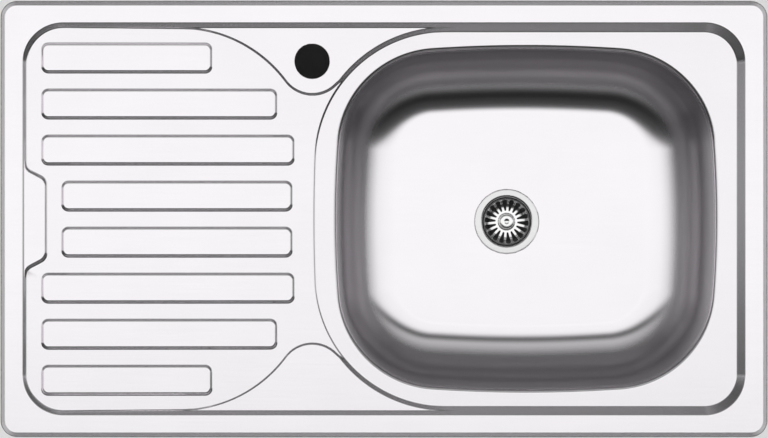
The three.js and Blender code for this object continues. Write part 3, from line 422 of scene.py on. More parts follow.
class Sheet:
    """Vertices in millimetres with their normals, and faces, gathered from several pieces. A look
    is a material slot: 0 is the sheet's steel, 1 the rolled hem's painted shade."""

    def __init__(self):
        self.points, self.normals, self.faces, self.looks, self.count = [], [], [], [], 0

    def add(self, points, normals, faces, look=0):
        self.points.append(np.asarray(points, float))
        self.normals.append(np.asarray(normals, float))
        self.faces += [tuple(int(v) + self.count for v in face) for face in faces]
        self.looks += [look] * len(faces)
        self.count += len(points)

    def strip(self, arcs, profile, look=0, **steps):
        """Loops along an outline through a profile of (inset, z, normal inwards, normal up)."""
        points, normals, faces = [], [], []
        for inset, z, n_in, n_up in profile:
            x, y, nx, ny = outline_points(arcs, inset, **steps).T
            points.append(np.column_stack([x, y, np.full(len(x), z)]))
            normals.append(np.column_stack([nx * n_in, ny * n_in, np.full(len(x), n_up)]))
        loop = len(points[0])
        for p in range(len(profile) - 1):
            for i in range(loop):
                a, b = p * loop + i, p * loop + (i + 1) % loop
                faces.append((a, b, b + loop, a + loop))
        self.add(np.concatenate(points), np.concatenate(normals), faces, look)

    def build(self, name):
        """The welded mesh, with its faces turned the way its normals point."""
        points = np.concatenate(self.points) * MM
        normals = np.concatenate(self.normals)
        normals /= np.linalg.norm(normals, axis=1)[:, None]
        bm = bmesh.new()
        carried = bm.verts.layers.float_vector.new("carried")
        for point, normal in zip(points, normals):
            bm.verts.new(point)[carried] = normal
        bm.verts.ensure_lookup_table()
        for face, look in zip(self.faces, self.looks):
            bm.faces.new([bm.verts[i] for i in face]).material_index = look
        bmesh.ops.remove_doubles(bm, verts=bm.verts, dist=WELD)
        loose = [v for v in bm.verts if not v.link_faces]
        bmesh.ops.delete(bm, geom=loose, context="VERTS")
        bm.normal_update()
        carried = bm.verts.layers.float_vector["carried"]
        for face in bm.faces:
            if sum((v[carried] for v in face.verts), Vector()).dot(face.normal) < 0:
                face.normal_flip()
        kept = [v[carried].copy() for v in bm.verts]
        bm.verts.layers.float_vector.remove(carried)
        mesh = bpy.data.meshes.new(name)
        bm.to_mesh(mesh)
        bm.free()
        mesh.polygons.foreach_set("use_smooth", [True] * len(mesh.polygons))
        mesh.normals_split_custom_set_from_vertices(kept)
        return link(name, mesh)


def link(name, mesh):
    obj = bpy.data.objects.new(name, mesh)
    bpy.context.scene.collection.objects.link(obj)
    return obj


def triangulated(loops, chains):
    """Triangles of the plane through closed loops and open chains of points, which become edges."""
    points, edges = [], []
    for loop in loops:
        first = len(points)
        points += [Vector(p) for p in loop]
        edges += [(first + i, first + (i + 1) % len(loop)) for i in range(len(loop))]
    for chain in chains:
        first = len(points)
        points += [Vector(p) for p in chain]
        edges += [(first + i, first + i + 1) for i in range(len(chain) - 1)]
    found = delaunay_2d_cdt(points, edges, [], 0, MERGE)
    flat = np.array([[p.x, p.y] for p in found[0]])
    return flat, np.array(found[2])


def runs(points, keep):
    """The stretches of a closed loop of points that are kept, each as a chain."""
    count = len(points)
    if keep.all():
        return [np.vstack([points, points[:1]])]
    chains, chain = [], []
    start = int(np.argmin(keep))
    for k in range(count + 1):
        i = (start + k) % count
        if keep[i] and k < count:
            chain.append(points[i])
        else:
            if len(chain) > 1:
                chains.append(np.array(chain))
            chain = []
    return chains


def deck_chains():
    """Curves along every fold of the deck, kept only where the sheet runs at their height."""
    chains = []
    for inset in RECESS_INSETS:
        rows = outline_points(RECESS, inset)[:, :2]
        z = deck_field(rows[:, 0], rows[:, 1])[0]
        keep = np.abs(z - min(RIM_Z, RIM_Z - inset)) < FOLD_REACH
        chains += runs(rows, keep)
    for outline in (DRAINER, SURROUND):
        for inset in STEP_INSETS:
            rows = outline_points(outline, inset)[:, :2]
            x, y = rows[:, 0], rows[:, 1]
            z = deck_field(x, y)[0]
            apart = depth_inside(RECESS, x, y)[0] - depth_inside(outline, x, y)[0]
            keep = (np.abs(z - (RIM_Z - inset)) < FOLD_REACH) & (apart > FOLDS_APART)
            chains += runs(rows, keep)
    for rib in RIBS:
        for inset in RIB_INSETS:
            chains += runs(outline_points(rib, inset)[:, :2], np.array([True]))
    return chains


def bowl_profile(thickness):
    """The bowl's wall from its mouth to its floor: (inset, z, normal inwards, normal up)."""
    steep = math.pi / 2 - BOWL_DRAFT
    fillets = MOUTH_FILLET + FLOOR_FILLET
    wall = BOWL_DEPTH - fillets * (1 - math.sin(BOWL_DRAFT))
    floor_inset = fillets * math.cos(BOWL_DRAFT) + wall * math.tan(BOWL_DRAFT)
    side = -1 if thickness else 1
    profile = []
    for lean in np.linspace(0, steep, 9):
        r = MOUTH_FILLET - thickness
        profile.append((r * math.sin(lean), SURROUND_Z - MOUTH_FILLET + r * math.cos(lean), lean))
    for lean in np.linspace(steep, 0, 33):
        r = FLOOR_FILLET + thickness
        z = FLOOR_Z + FLOOR_FILLET - r * math.cos(lean)
        profile.append((floor_inset - r * math.sin(lean), z, lean))
    return [(s, z, side * math.sin(lean), side * math.cos(lean)) for s, z, lean in profile]


def lip_profile():
    """The sloping lip from the rim's flat outwards, its upright hem, and the way back below."""
    lean = math.radians(LIP_LEAN)
    sin, cos = math.sin(lean), math.cos(lean)
    foot = (HEM_FOLD * (1 - sin), HEM_TOP + HEM_FOLD * cos)
    fold_x = foot[0] + LIP_FOLD * sin + (RIM_Z - LIP_FOLD * (1 - cos) - foot[1]) / math.tan(lean)
    inner_x = fold_x + SHEET * math.tan(lean / 2)
    slope, hem, under = [(DECK_EDGE, RIM_Z, 0, 1)], [], []
    for a in np.linspace(0, lean, 5):
        s, c = math.sin(a), math.cos(a)
        slope.append((fold_x - LIP_FOLD * s, RIM_Z - LIP_FOLD * (1 - c), -s, c))
        under.append((inner_x - LIP_FOLD * s, RIM_Z - SHEET - LIP_FOLD * (1 - c), s, -c))
    slope.append((*foot, -sin, cos))
    for a in np.linspace(lean, math.pi / 2, 6):
        s, c = math.sin(a), math.cos(a)
        hem.append((HEM_FOLD - HEM_FOLD * s, HEM_TOP + HEM_FOLD * c, -s, c))
    for a in np.linspace(math.pi / 2, math.pi * 1.5, 9):
        s, c = math.sin(a), math.cos(a)
        hem.append((SHEET / 2 * (1 - s), SHEET / 2 * (1 + c) + HEM_GAP, -s, c))
    back = []
    for a in np.linspace(math.pi / 2, lean, 5):
        s, c = math.sin(a), math.cos(a)
        r = HEM_FOLD - SHEET
        back.append((HEM_FOLD - r * s, HEM_TOP + r * c, s, -c))
    hem.append(back[0])
    return slope, hem, back + under[::-1] + [(DECK_EDGE, RIM_Z - SHEET, 0, -1)]


def round_edge(inset, z, thickness):
    """The half-round edge of a hole in the sheet, from its top to its underside."""
    r = thickness / 2
    return [
        (inset + r * math.sin(a), z - r + r * math.cos(a), math.sin(a), math.cos(a))
        for a in np.linspace(0, math.pi, 7)
    ]


def recess_profile(lowered):
    """The flange's recess in the bowl's floor, inwards. Insets are from its top edge."""
    r = RECESS_FOLD
    side = -1 if lowered else 1
    top, low = FLOOR_Z - lowered, FLOOR_Z - lowered - FLANGE_RECESS_DEPTH
    shift = -lowered
    profile = []
    for a in np.linspace(0, math.pi / 2, 5):
        profile.append((shift + r * math.sin(a), top - r + r * math.cos(a), a))
    for a in np.linspace(math.pi / 2, 0, 5):
        profile.append((shift + 2 * r - r * math.sin(a), low + r - r * math.cos(a), a))
    profile.append((FLANGE_RECESS_RADIUS + r - WASTE_HOLE_RADIUS - SHEET / 2, low, 0))
    return [(s, z, side * math.sin(a), side * math.cos(a)) for s, z, a in profile]


def sink_sheet():
    sheet = Sheet()
    rim_loop = outline_points(RIM, DECK_EDGE)[:, :2]
    mouth_loop = outline_points(BOWL, 0.0, **FINE)[:, :2]
    tap_outline = circle(*TAP, TAP_HOLE_RADIUS + TAP_EDGE)
    tap_loop = outline_points(tap_outline, 0.0)[:, :2]
    flat, triangles = triangulated([rim_loop, mouth_loop, tap_loop], deck_chains())
    middle = flat[triangles].mean(axis=1)
    keep = (
        (depth_inside(RIM, middle[:, 0], middle[:, 1])[0] > DECK_EDGE - TINY)
        & (depth_inside(BOWL, middle[:, 0], middle[:, 1])[0] < 0)
        & (np.hypot(middle[:, 0] - TAP[0], middle[:, 1] - TAP[1]) > TAP_HOLE_RADIUS + TAP_EDGE / 2)
    )
    triangles = triangles[keep]
    z, zx, zy = deck_field(flat[:, 0], flat[:, 1])
    on_mouth = np.abs(depth_inside(BOWL, flat[:, 0], flat[:, 1])[0]) < TOUCHING
    z[on_mouth] = SURROUND_Z
    top = np.column_stack([flat, z])
    normal = np.column_stack([-zx, -zy, np.ones(len(z))])
    sheet.add(top, normal, triangles)
    sheet.add(top - [0, 0, SHEET], -normal, triangles[:, ::-1])
    slope, hem, underside = lip_profile()
    sheet.strip(RIM, slope)
    # The rolled hem takes look 1: painted shade, dark for the shade at the lip's outer edge.
    sheet.strip(RIM, hem, look=1)
    sheet.strip(RIM, underside)
    sheet.strip(tap_outline, round_edge(0.0, LEDGE_Z, SHEET))
    sheet.strip(BOWL, bowl_profile(0.0), **FINE)
    sheet.strip(BOWL, bowl_profile(SHEET), **FINE)

    recess_top = circle(*DRAIN, FLANGE_RECESS_RADIUS + RECESS_FOLD)
    for lowered in (0.0, SHEET):
        profile = recess_profile(lowered)
        wall = bowl_profile(lowered)[-1]
        edge = outline_points(BOWL, wall[0], **FINE)[:, :2]
        hole = outline_points(recess_top, profile[0][0])[:, :2]
        flat, triangles = triangulated([edge, hole], [])
        middle = flat[triangles].mean(axis=1) - DRAIN
        triangles = triangles[np.hypot(middle[:, 0], middle[:, 1]) > FLANGE_RECESS_RADIUS]
        points = np.column_stack([flat, np.full(len(flat), FLOOR_Z - lowered)])
        up = -1.0 if lowered else 1.0
        sheet.add(points, np.tile([0, 0, up], (len(flat), 1)), triangles)
        sheet.strip(recess_top, profile)
    last = recess_profile(0.0)[-1]
    sheet.strip(recess_top, round_edge(last[0], last[1], SHEET))
    return sheet.build("sink_sheet")


def around_drain(radius, turn):
    return DRAIN[0] + radius * math.cos(turn), DRAIN[1] + radius * math.sin(turn)


def ring_points(radius, sides):
    return [around_drain(radius, 2 * math.pi * k / sides) for k in range(sides)]


def turned(name, profile, sides=144):
    """A body turned about the waste's axis, from (radius, z) about the flange's top."""
    bm = bmesh.new()
    loops = []
    for r, z in profile:
        ring = ring_points(r, sides) if r > TINY else [DRAIN]
        loops.append([bm.verts.new((x * MM, y * MM, (FLANGE_TOP + z) * MM)) for x, y in ring])
    pairs = list(zip(loops, loops[1:]))
    if profile[0][0] > TINY and profile[-1][0] > TINY:
        pairs.append((loops[-1], loops[0]))
    for a, b in pairs:
        for k in range(sides):
            corners = [a[k % len(a)], a[(k + 1) % len(a)], b[(k + 1) % len(b)], b[k % len(b)]]
            bm.faces.new(dict.fromkeys(corners))
    return finished(name, bm)


def plate(name, loops, keep, low, high):
    """A flat plate between loops of points (x, y), from one level to another."""
    flat, triangles = triangulated(loops, [])
    triangles = triangles[[keep(*middle) for middle in flat[triangles].mean(axis=1)]]
    bm = bmesh.new()
    levels = [[bm.verts.new((x * MM, y * MM, z * MM)) for x, y in flat] for z in (low, high)]
    sides = {}
    for a, b, c in triangles.tolist():
        bm.faces.new([levels[1][i] for i in (a, b, c)])
        bm.faces.new([levels[0][i] for i in (c, b, a)])
        sides.update(dict.fromkeys(((a, b), (b, c), (c, a))))
    for a, b in sides:
        if (b, a) not in sides:
            bm.faces.new([levels[0][a], levels[0][b], levels[1][b], levels[1][a]])
    loose = [v for v in bm.verts if not v.link_faces]
    bmesh.ops.delete(bm, geom=loose, context="VERTS")
    return finished(name, bm)


def finished(name, bm, sharp=35.0):
    """Turns a bmesh into an object: smooth, but with its real corners kept."""
    bmesh.ops.recalc_face_normals(bm, faces=bm.faces)
    limit = math.radians(sharp)
    for edge in bm.edges:
        edge.smooth = len(edge.link_faces) != 2 or edge.calc_face_angle() < limit
    mesh = bpy.data.meshes.new(name)
    bm.to_mesh(mesh)
    bm.free()
    mesh.polygons.foreach_set("use_smooth", [True] * len(mesh.polygons))
    return link(name, mesh)


def bend(centre, radius, start, stop, steps):
    """Points of a rounded corner, as (radius, z), from one angle to another in degrees."""
    turns = np.radians(np.linspace(start, stop, steps))
    return [(centre[0] + radius * math.cos(a), centre[1] + radius * math.sin(a)) for a in turns]


# ------------------------------------------------------------------ materials
# The scales of the noise are per millimetre.

MATT_SPREAD = 0.05
CLOUD_SCALE = 0.012
STREAK_SCALE = 0.9
STREAK_STRETCH = (0.02, 1, 1)
WAVE_SCALE = 0.02


def material(name):
    mat = bpy.data.materials.new(name)
    mat.use_nodes = True
    nodes = mat.node_tree.nodes
    nodes.clear()
    out = nodes.new("ShaderNodeOutputMaterial")
    shader = nodes.new("ShaderNodeBsdfPrincipled")
    mat.node_tree.links.new(shader.outputs[0], out.inputs[0])
    return mat, nodes, mat.node_tree.links, shader


def noise(nodes, links, scale, detail, stretch=(1, 1, 1)):
    """Noise in the object's own millimetres, stretched along an axis where stretch is under 1."""
    coords = nodes.new("ShaderNodeTexCoord")
    mapping = nodes.new("ShaderNodeMapping")
    mapping.inputs["Scale"].default_value = [v / MM for v in stretch]
    texture = nodes.new("ShaderNodeTexNoise")
    texture.inputs["Scale"].default_value = scale
    texture.inputs["Detail"].default_value = detail
    links.new(coords.outputs["Object"], mapping.inputs["Vector"])
    links.new(mapping.outputs[0], texture.inputs["Vector"])
    return texture.outputs["Fac"]


def spread(nodes, links, value, low, high, start=0.3, stop=0.7):
    """A value between start and stop, turned into one between low and high."""
    node = nodes.new("ShaderNodeMapRange")
    node.inputs["From Min"].default_value = start
    node.inputs["From Max"].default_value = stop
    node.inputs["To Min"].default_value = low
    node.inputs["To Max"].default_value = high
    links.new(value, node.inputs["Value"])
    return node.outputs[0]


def tint(nodes, links, value, dark, light, start=0.3, stop=0.7):
    """A colour between dark and light, by a value between start and stop."""
    ramp = nodes.new("ShaderNodeValToRGB")
    ramp.color_ramp.elements[0].position = start
    ramp.color_ramp.elements[0].color = (*dark, 1)
    ramp.color_ramp.elements[1].position = stop
    ramp.color_ramp.elements[1].color = (*light, 1)
    links.new(value, ramp.inputs["Fac"])
    return ramp.outputs["Color"]


def bump(nodes, links, value, distance, under=None):
    node = nodes.new("ShaderNodeBump")
    node.inputs["Distance"].default_value = distance * MM
    links.new(value, node.inputs["Height"])
    if under is not None:
        links.new(under, node.inputs["Normal"])
    return node.outputs[0]


def float_curve(nodes, links, value, marks):
    """A factor read from (value, factor) marks joined by straight lines."""
    curve = nodes.new("ShaderNodeFloatCurve")
    points = curve.mapping.curves[0].points
    points[0].location, points[1].location = marks[0], marks[-1]
    for mark in marks[1:-1]:
        points.new(*mark)
    for point in points:
        point.handle_type = "VECTOR"
    curve.mapping.update()
    links.new(value, curve.inputs["Value"])
    return curve.outputs[0]


def by_level(nodes, links, stops):
    """A factor that depends on the level, from (millimetres, factor) stops in rising order."""
    coords = nodes.new("ShaderNodeTexCoord")
    split = nodes.new("ShaderNodeSeparateXYZ")
    links.new(coords.outputs["Object"], split.inputs[0])
    low, high = stops[0][0], stops[-1][0]
    share = spread(nodes, links, split.outputs["Z"], 0, 1, low * MM, high * MM)
    return float_curve(nodes, links, share, [((z - low) / (high - low), v) for z, v in stops])


def math_node(nodes, links, operation, *values):
    node = nodes.new("ShaderNodeMath")
    node.operation = operation
    for socket, value in zip(node.inputs, values):
        if isinstance(value, (int, float)):
            socket.default_value = value
        else:
            links.new(value, socket)
    return node.outputs[0]


def product(nodes, links, a, b):
    """Two colours or factors multiplied."""
    node = nodes.new("ShaderNodeVectorMath")
    node.operation = "MULTIPLY"
    links.new(a, node.inputs[0])
    links.new(b, node.inputs[1])
    return node.outputs[0]


def steel(name, light, dark, rough_low, rough_high, grain, wave, finish_and_shade=None):
    """Rolled steel: a slow cloud in its colour, and fine streaks along X in its gloss and surface.
    With finish_and_shade, roughness goes by level and colour darkens by level: painted shade."""
    mat, nodes, links, shader = material(name)
    shader.inputs["Metallic"].default_value = 1.0
    cloud = noise(nodes, links, CLOUD_SCALE, 3.0)
    streak = noise(nodes, links, STREAK_SCALE, 3.0, STREAK_STRETCH)
    colour = tint(nodes, links, cloud, dark, light)
    finish = spread(nodes, links, streak, rough_low, rough_high)
    if finish_and_shade:
        colour = product(nodes, links, colour, by_level(nodes, links, finish_and_shade[0]))
        finish = product(nodes, links, finish, by_level(nodes, links, finish_and_shade[1]))
    links.new(colour, shader.inputs["Base Color"])
    links.new(finish, shader.inputs["Roughness"])
    long_wave = bump(nodes, links, noise(nodes, links, WAVE_SCALE, 1.0), wave)
    links.new(bump(nodes, links, streak, grain, under=long_wave), shader.inputs["Normal"])
    return mat


def matt(name, light, dark, roughness, scale, depth):
    """A dull surface with one fine grain in its colour, roughness and surface."""
    mat, nodes, links, shader = material(name)
    grain = noise(nodes, links, scale, 4.0)
    links.new(tint(nodes, links, grain, dark, light), shader.inputs["Base Color"])
    finish = spread(nodes, links, grain, roughness - MATT_SPREAD, roughness + MATT_SPREAD)
    links.new(finish, shader.inputs["Roughness"])
    links.new(bump(nodes, links, grain, depth), shader.inputs["Normal"])
    return mat


# By level: the bowl's floor and the deck are smoother than the walls between them, and the walls
# are darkened with painted shade.
WALL_SHADE_BY_LEVEL = [
    *((-152, 0.97), (-148, 0.97), (-138, 0.88), (-125, 0.8), (-105, 0.78)),
    *((-92, 0.66), (-20, 0.6), (-7, 0.93), (6, 1.0)),
]
DRAWN_ROUGHNESS = [
    *((-152, 0.4), (-149, 0.4), (-145, 0.55), (-138, 0.86)),
    *((-20, 0.9), (-7, 0.45), (6, 0.45)),
]
FINISH_AND_SHADE_BY_LEVEL = (WALL_SHADE_BY_LEVEL, DRAWN_ROUGHNESS)
SATIN_LIGHT, SATIN_DARK = (0.84, 0.818, 0.843), (0.822, 0.8, 0.825)
# The satin steel's colour is darkened on the bowl's walls: painted shade.
STAINLESS = steel("satin_stainless", SATIN_LIGHT, SATIN_DARK, 0.39, 0.43, 0.0008, 0.012, FINISH_AND_SHADE_BY_LEVEL)
BRIGHT = steel("bright_stainless", (0.72,) * 3, (0.69,) * 3, 0.16, 0.2, 0.0008, 0.004)
POLISHED = steel("polished_stainless", (0.86,) * 3, (0.82,) * 3, 0.16, 0.2, 0.0008, 0.004)
# Painted shade: the basket's band past its slots is darker for the shade of the cup. Its rougher
# finish is real.
BASKET_RIM_SHADE = steel("basket_rim_painted_shade", (0.62,) * 3, (0.54,) * 3, 0.5, 0.6, 0.002, 0.004)
# Painted shade: the flange's cup and its bridges are painted dark for the shade deep in the waste.
CUP_SHADE = steel("cup_painted_shade", (0.13,) * 3, (0.08,) * 3, 0.45, 0.6, 0.002, 0.004)
ZINC = steel("zinc_plate", (0.68, 0.70, 0.72), (0.55, 0.57, 0.60), 0.3, 0.45, 0.004, 0.006)
# Painted shade: the rolled hem's dark colour stands in for the shade and dark reflection at the
# lip's edge.
HEM_SHADE = matt("hem_painted_shade", (0.14, 0.14, 0.145), (0.11, 0.11, 0.115), 0.7, 0.8, 0.01)
RUBBER = matt("black_rubber", (0.035, 0.035, 0.036), (0.018, 0.018, 0.018), 0.75, 0.6, 0.03)
FOAM = matt("grey_foam", (0.075, 0.075, 0.08), (0.03, 0.03, 0.032), 0.9, 1.6, 0.25)
BITUMEN = matt("sound_pad", (0.06, 0.057, 0.054), (0.028, 0.026, 0.025), 0.85, 0.35, 0.3)
PLASTIC = matt("white_plastic", (0.80, 0.80, 0.78), (0.74, 0.74, 0.72), 0.4, 0.25, 0.02)


def wear(obj, mat):
    """Gives an object one material."""
    if obj.data.materials:
        obj.data.materials.clear()
    obj.data.materials.append(mat)


def place(obj, mat, body, slot, *nodes):
    """Gives a piece its material, its body and the CAD nodes that it stands for; slot is not used.
    """
    wear(obj, mat)
    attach(obj, body)
    if nodes:
        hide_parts(*nodes)


def paint(obj, mat, chosen):
    """A second material for faces chosen by radius and level about the flange's top."""
    obj.data.materials.append(mat)
    for face in obj.data.polygons:
        x, y, z = face.center / MM
        if chosen(math.hypot(x - DRAIN[0], y - DRAIN[1]), z - FLANGE_TOP):
            face.material_index = 1


# ------------------------------------------------------------------ pieces: sheet and flange

sheet_piece = sink_sheet()
place(sheet_piece, STAINLESS, "sink", "stainless", "sink_shell")
# The second slot holds the hem's painted shade.
sheet_piece.data.materials.append(HEM_SHADE)

# Painted shade inside the flange's cup, by radius and level about the flange's top.
CUP_INSIDE_RADIUS = 25.3
CUP_INSIDE_TOP = -1.6
CUP_INSIDE_BOTTOM = -18.5

BRIDGE_HUB = 8.0
BRIDGE_HALF_WIDTH = 2.5
BRIDGE_TOP = -18.05
BRIDGE_BOTTOM = -18.9
BRIDGE_REACH = 16.6
BRIDGES = 3
WASTE_SEAT = 16.0
WASTE_SCREW = 3.2

flange = turned(
    "flange_dish",
    [
        (16.0, -19.0),
        *bend((24.6, -18.0), 1.0, -90, 0, 4),
        (25.6, -1.0),
        (32.9, -1.0),
        *bend((32.85, -0.38), 0.35, -60, 90, 8),
        (32.3, -0.025),
        (28.2, 0.1),
        *bend((27.9, -2.9), 3.0, 88, 180, 10),
        *bend((23.9, -17.0), 1.0, 0, -90, 4),
        (16.0, -18.0),
    ],
)
place(flange, BRIGHT, "sink", "bright_steel", "waste_flange")
# The inside of the flange's cup gets painted shade.
paint(
    flange,
    CUP_SHADE,
    lambda r, z: r < CUP_INSIDE_RADIUS and CUP_INSIDE_BOTTOM < z < CUP_INSIDE_TOP,
)


def bridge_windows():
    """The openings between the hub and the seat, each between two bridges."""
    windows = []
    pitch = 2 * math.pi / BRIDGES
    for k in range(BRIDGES):
        window = []
        for radius, sign in ((BRIDGE_HUB, 1), (WASTE_SEAT, -1)):
            edge = math.asin(BRIDGE_HALF_WIDTH / radius)
            for turn in np.linspace(edge, pitch - edge, 17)[::sign]:
                window.append(around_drain(radius, turn + pitch * k))
        windows.append(window)
    return windows


def on_bridges(x, y):
    """Whether a point is on the hub, the seat or a bridge, and outside the screw's bore."""
    radius = math.hypot(x - DRAIN[0], y - DRAIN[1])
    turn = math.atan2(y - DRAIN[1], x - DRAIN[0])
    pitch = 2 * math.pi / BRIDGES
    off_axis = radius * abs(math.sin((turn + pitch / 2) % pitch - pitch / 2))
    solid = radius < BRIDGE_HUB or radius > WASTE_SEAT or off_axis < BRIDGE_HALF_WIDTH
    return solid and radius > WASTE_SCREW


spider = plate(
    "flange_bridges",
    [ring_points(BRIDGE_REACH, 96), ring_points(WASTE_SCREW, 36), *bridge_windows()],
    on_bridges,
    FLANGE_TOP + BRIDGE_BOTTOM,
    FLANGE_TOP + BRIDGE_TOP,
)
# The bridges in the cup carry the same painted shade.
place(spider, CUP_SHADE, "sink", "bright_steel")

# ------------------------------------------------------------------ pieces: strainer
# The basket is a dish that curls up to a thin rim, pierced by radial slots, with a raised hub.
# Its levels are about the flange's top.

BASKET_BORE = 7.6
BASKET_FLAT = 12.6
BASKET_RADIUS = 24.4
BASKET_UNDERSIDE_RADIUS = 24.6
BASKET_FLOOR = -8.0
BASKET_RIM = -1.2
BASKET_CURL = 3.0
BASKET_SHEET = 0.8
BASKET_TURN = math.radians(-4.5)
HUB_RADIUS = 9.0
HUB_TOP = -7.0
HUB_STEP = 0.9
SLOTS = 18
SLOT_START = 11.3
SLOT_END = 23.0
SLOT_ROUND = 0.9
SPOKE_HALF_WIDTH = 1.2
SLOPE_STEP = 0.01
SECTOR_STEPS = 8


def basket_height(r):
    """Level of the basket's upper side at a radius."""
    if r < HUB_RADIUS:
        t = min(1.0, (HUB_RADIUS - r) / HUB_STEP)
        return BASKET_FLOOR + (HUB_TOP - BASKET_FLOOR) * t * t * (3 - 2 * t)
    t = max(0.0, (r - BASKET_FLAT) / (BASKET_RADIUS - BASKET_FLAT))
    return BASKET_FLOOR + (BASKET_RIM - BASKET_FLOOR) * t**BASKET_CURL


def slot_half_turn(r):
    """Half the angle that a slot spans: round ends, and spokes that keep their width."""
    if not SLOT_START < r < SLOT_END:
        return 0.0
    half = math.pi / SLOTS - SPOKE_HALF_WIDTH / r
    ends = min(r - SLOT_START, SLOT_END - r)
    round_off = 1 - max(0.0, 1 - ends / SLOT_ROUND) ** 2
    return half * math.sqrt(max(0.0, round_off))


def basket_ring(r, lower):
    """Points round one side of the basket at a radius of its upper side, a sector at a time."""
    half = slot_half_turn(r)
    rise = basket_height(r + SLOPE_STEP) - basket_height(r - SLOPE_STEP)
    lean = math.atan2(rise, 2 * SLOPE_STEP)
    thickness = BASKET_SHEET if lower else 0.0
    reach = min(r + thickness * math.sin(lean), BASKET_UNDERSIDE_RADIUS)
    z = FLANGE_TOP + (basket_height(r) - thickness * math.cos(lean))
    pitch = 2 * math.pi / SLOTS
    ring = []
    for k in range(SLOTS):
        start, stop = BASKET_TURN + k * pitch + half, BASKET_TURN + (k + 1) * pitch - half
        turns = np.linspace(start, stop, SECTOR_STEPS + 1)
        for turn in turns if half > 0 else turns[:-1]:
            ring.append((*around_drain(reach, turn), z))
    return ring


def basket():
    """Sectors of the dish between slots, gridded by radius and turn, with both sides and edges."""
    wave = 0.5 - 0.5 * np.cos(np.linspace(0, math.pi, 25))
    inner = np.linspace(BASKET_BORE, SLOT_START, 11)
    slotted = SLOT_START + (SLOT_END - SLOT_START) * wave
    outer = np.linspace(SLOT_END, BASKET_RADIUS, 5)
    radii = np.concatenate([inner, slotted[1:], outer[1:]])
    bm = bmesh.new()

    def grid(lower):
        rings = [basket_ring(r, lower) for r in radii]
        return [[bm.verts.new([v * MM for v in point]) for point in ring] for ring in rings]

    def vertex(ring, sector, step):
        return ring[(sector * (len(ring) // SLOTS) + step) % len(ring)]

    def join(a, b):
        for k in range(SLOTS):
            for i in range(SECTOR_STEPS):
                ends = [vertex(a, k, i), vertex(a, k, i + 1), vertex(b, k, i + 1), vertex(b, k, i)]
                bm.faces.new(ends)

    top, bottom = grid(False), grid(True)
    for side in (top, bottom):
        for a, b in zip(side, side[1:]):
            join(a, b)
    for rim in (0, -1):
        join(top[rim], bottom[rim])
    whole = SLOTS * SECTOR_STEPS
    for j in range(len(radii) - 1):
        rings = [top[j], top[j + 1], bottom[j + 1], bottom[j]]
        if len(top[j]) == whole and len(top[j + 1]) == whole:
            continue
        for k in range(SLOTS):
            for end in (0, SECTOR_STEPS):
                bm.faces.new([vertex(ring, k, end) for ring in rings])
    return finished("basket_dish", bm, 40.0)


dish = basket()
place(dish, POLISHED, "strainer", "bright_steel", "strainer_basket")
# The basket's band past its slots gets painted shade.
paint(dish, BASKET_RIM_SHADE, lambda r, z: r > SLOT_END)

post = turned(
    "basket_post",
    [
        (0.0, -7.3),
        (5.7, -7.3),
        (5.7, -13.3),
        (7.0, -13.3),
        (7.3, -13.0),
        (7.3, -10.1),
        (9.3, -10.1),
        (9.3, -8.85),
        (7.3, -8.85),
        (7.3, -6.9),
        *bend((6.8, -6.9), 0.5, 0, 80, 4),
        (4.9, -5.6),
        (4.3, -4.9),
        (4.2, -1.6),
        (5.9, -0.75),
        *bend((7.05, -0.1), 0.45, -90, 0, 4),
        (7.5, 0.3),
        (7.3, 0.75),
        (6.8, 1.1),
        (6.1, 1.34),
        (5.0, 1.47),
        (3.4, 1.5),
        (2.7, 1.47),
        (2.1, 1.2),
        (1.4, 0.95),
        (0.0, 0.88),
    ],
    sides=72,
)
place(post, POLISHED, "strainer", "bright_steel", "strainer_post")

stopper = turned(
    "basket_stopper",
    [
        (7.6, -13.6),
        (13.0, -13.6),
        (13.4, -13.1),
        (15.6, -13.1),
        (16.0, -13.6),
        *bend((18.7, -12.8), 0.8, -90, 0, 5),
        *bend((18.7, -11.2), 0.8, 0, 90, 5),
        (10.0, -10.4),
        (7.6, -10.4),
    ],
    sides=96,
)
place(stopper, RUBBER, "strainer", "rubber", "strainer_stopper")

# ------------------------------------------------------------------ the CAD solids' own materials

CARRIED = {
    "stainless": STAINLESS,
    "bright_steel": BRIGHT,
    "zinc_steel": ZINC,
    "rubber": RUBBER,
    "foam": FOAM,
    "bitumen": BITUMEN,
    "white_plastic": PLASTIC,
}
SLOT_OF = {entry["node"]: entry["material_slot"] for entry in frame["record"]["subparts"]}
for node, obj in frame["nodes"].items():
    wear(obj, CARRIED[SLOT_OF[node]])

# ------------------------------------------------------------------ floor, in metres

FLOOR_GAP = 0.0005
FLOOR_HALF = 40.0
# The shade's dark core and its reach to each side.
SHADE_CENTRE = (-0.0766, 0.168)
SHADE_WEST = 0.27
SHADE_EAST = 0.4
SHADE_SOUTH = 0.34
SHADE_NORTH = (0.016, 0.056)
SHADE_CORE = 0.075
SHADE_DARK = 0.012
FLOOR_LIGHT = 0.9


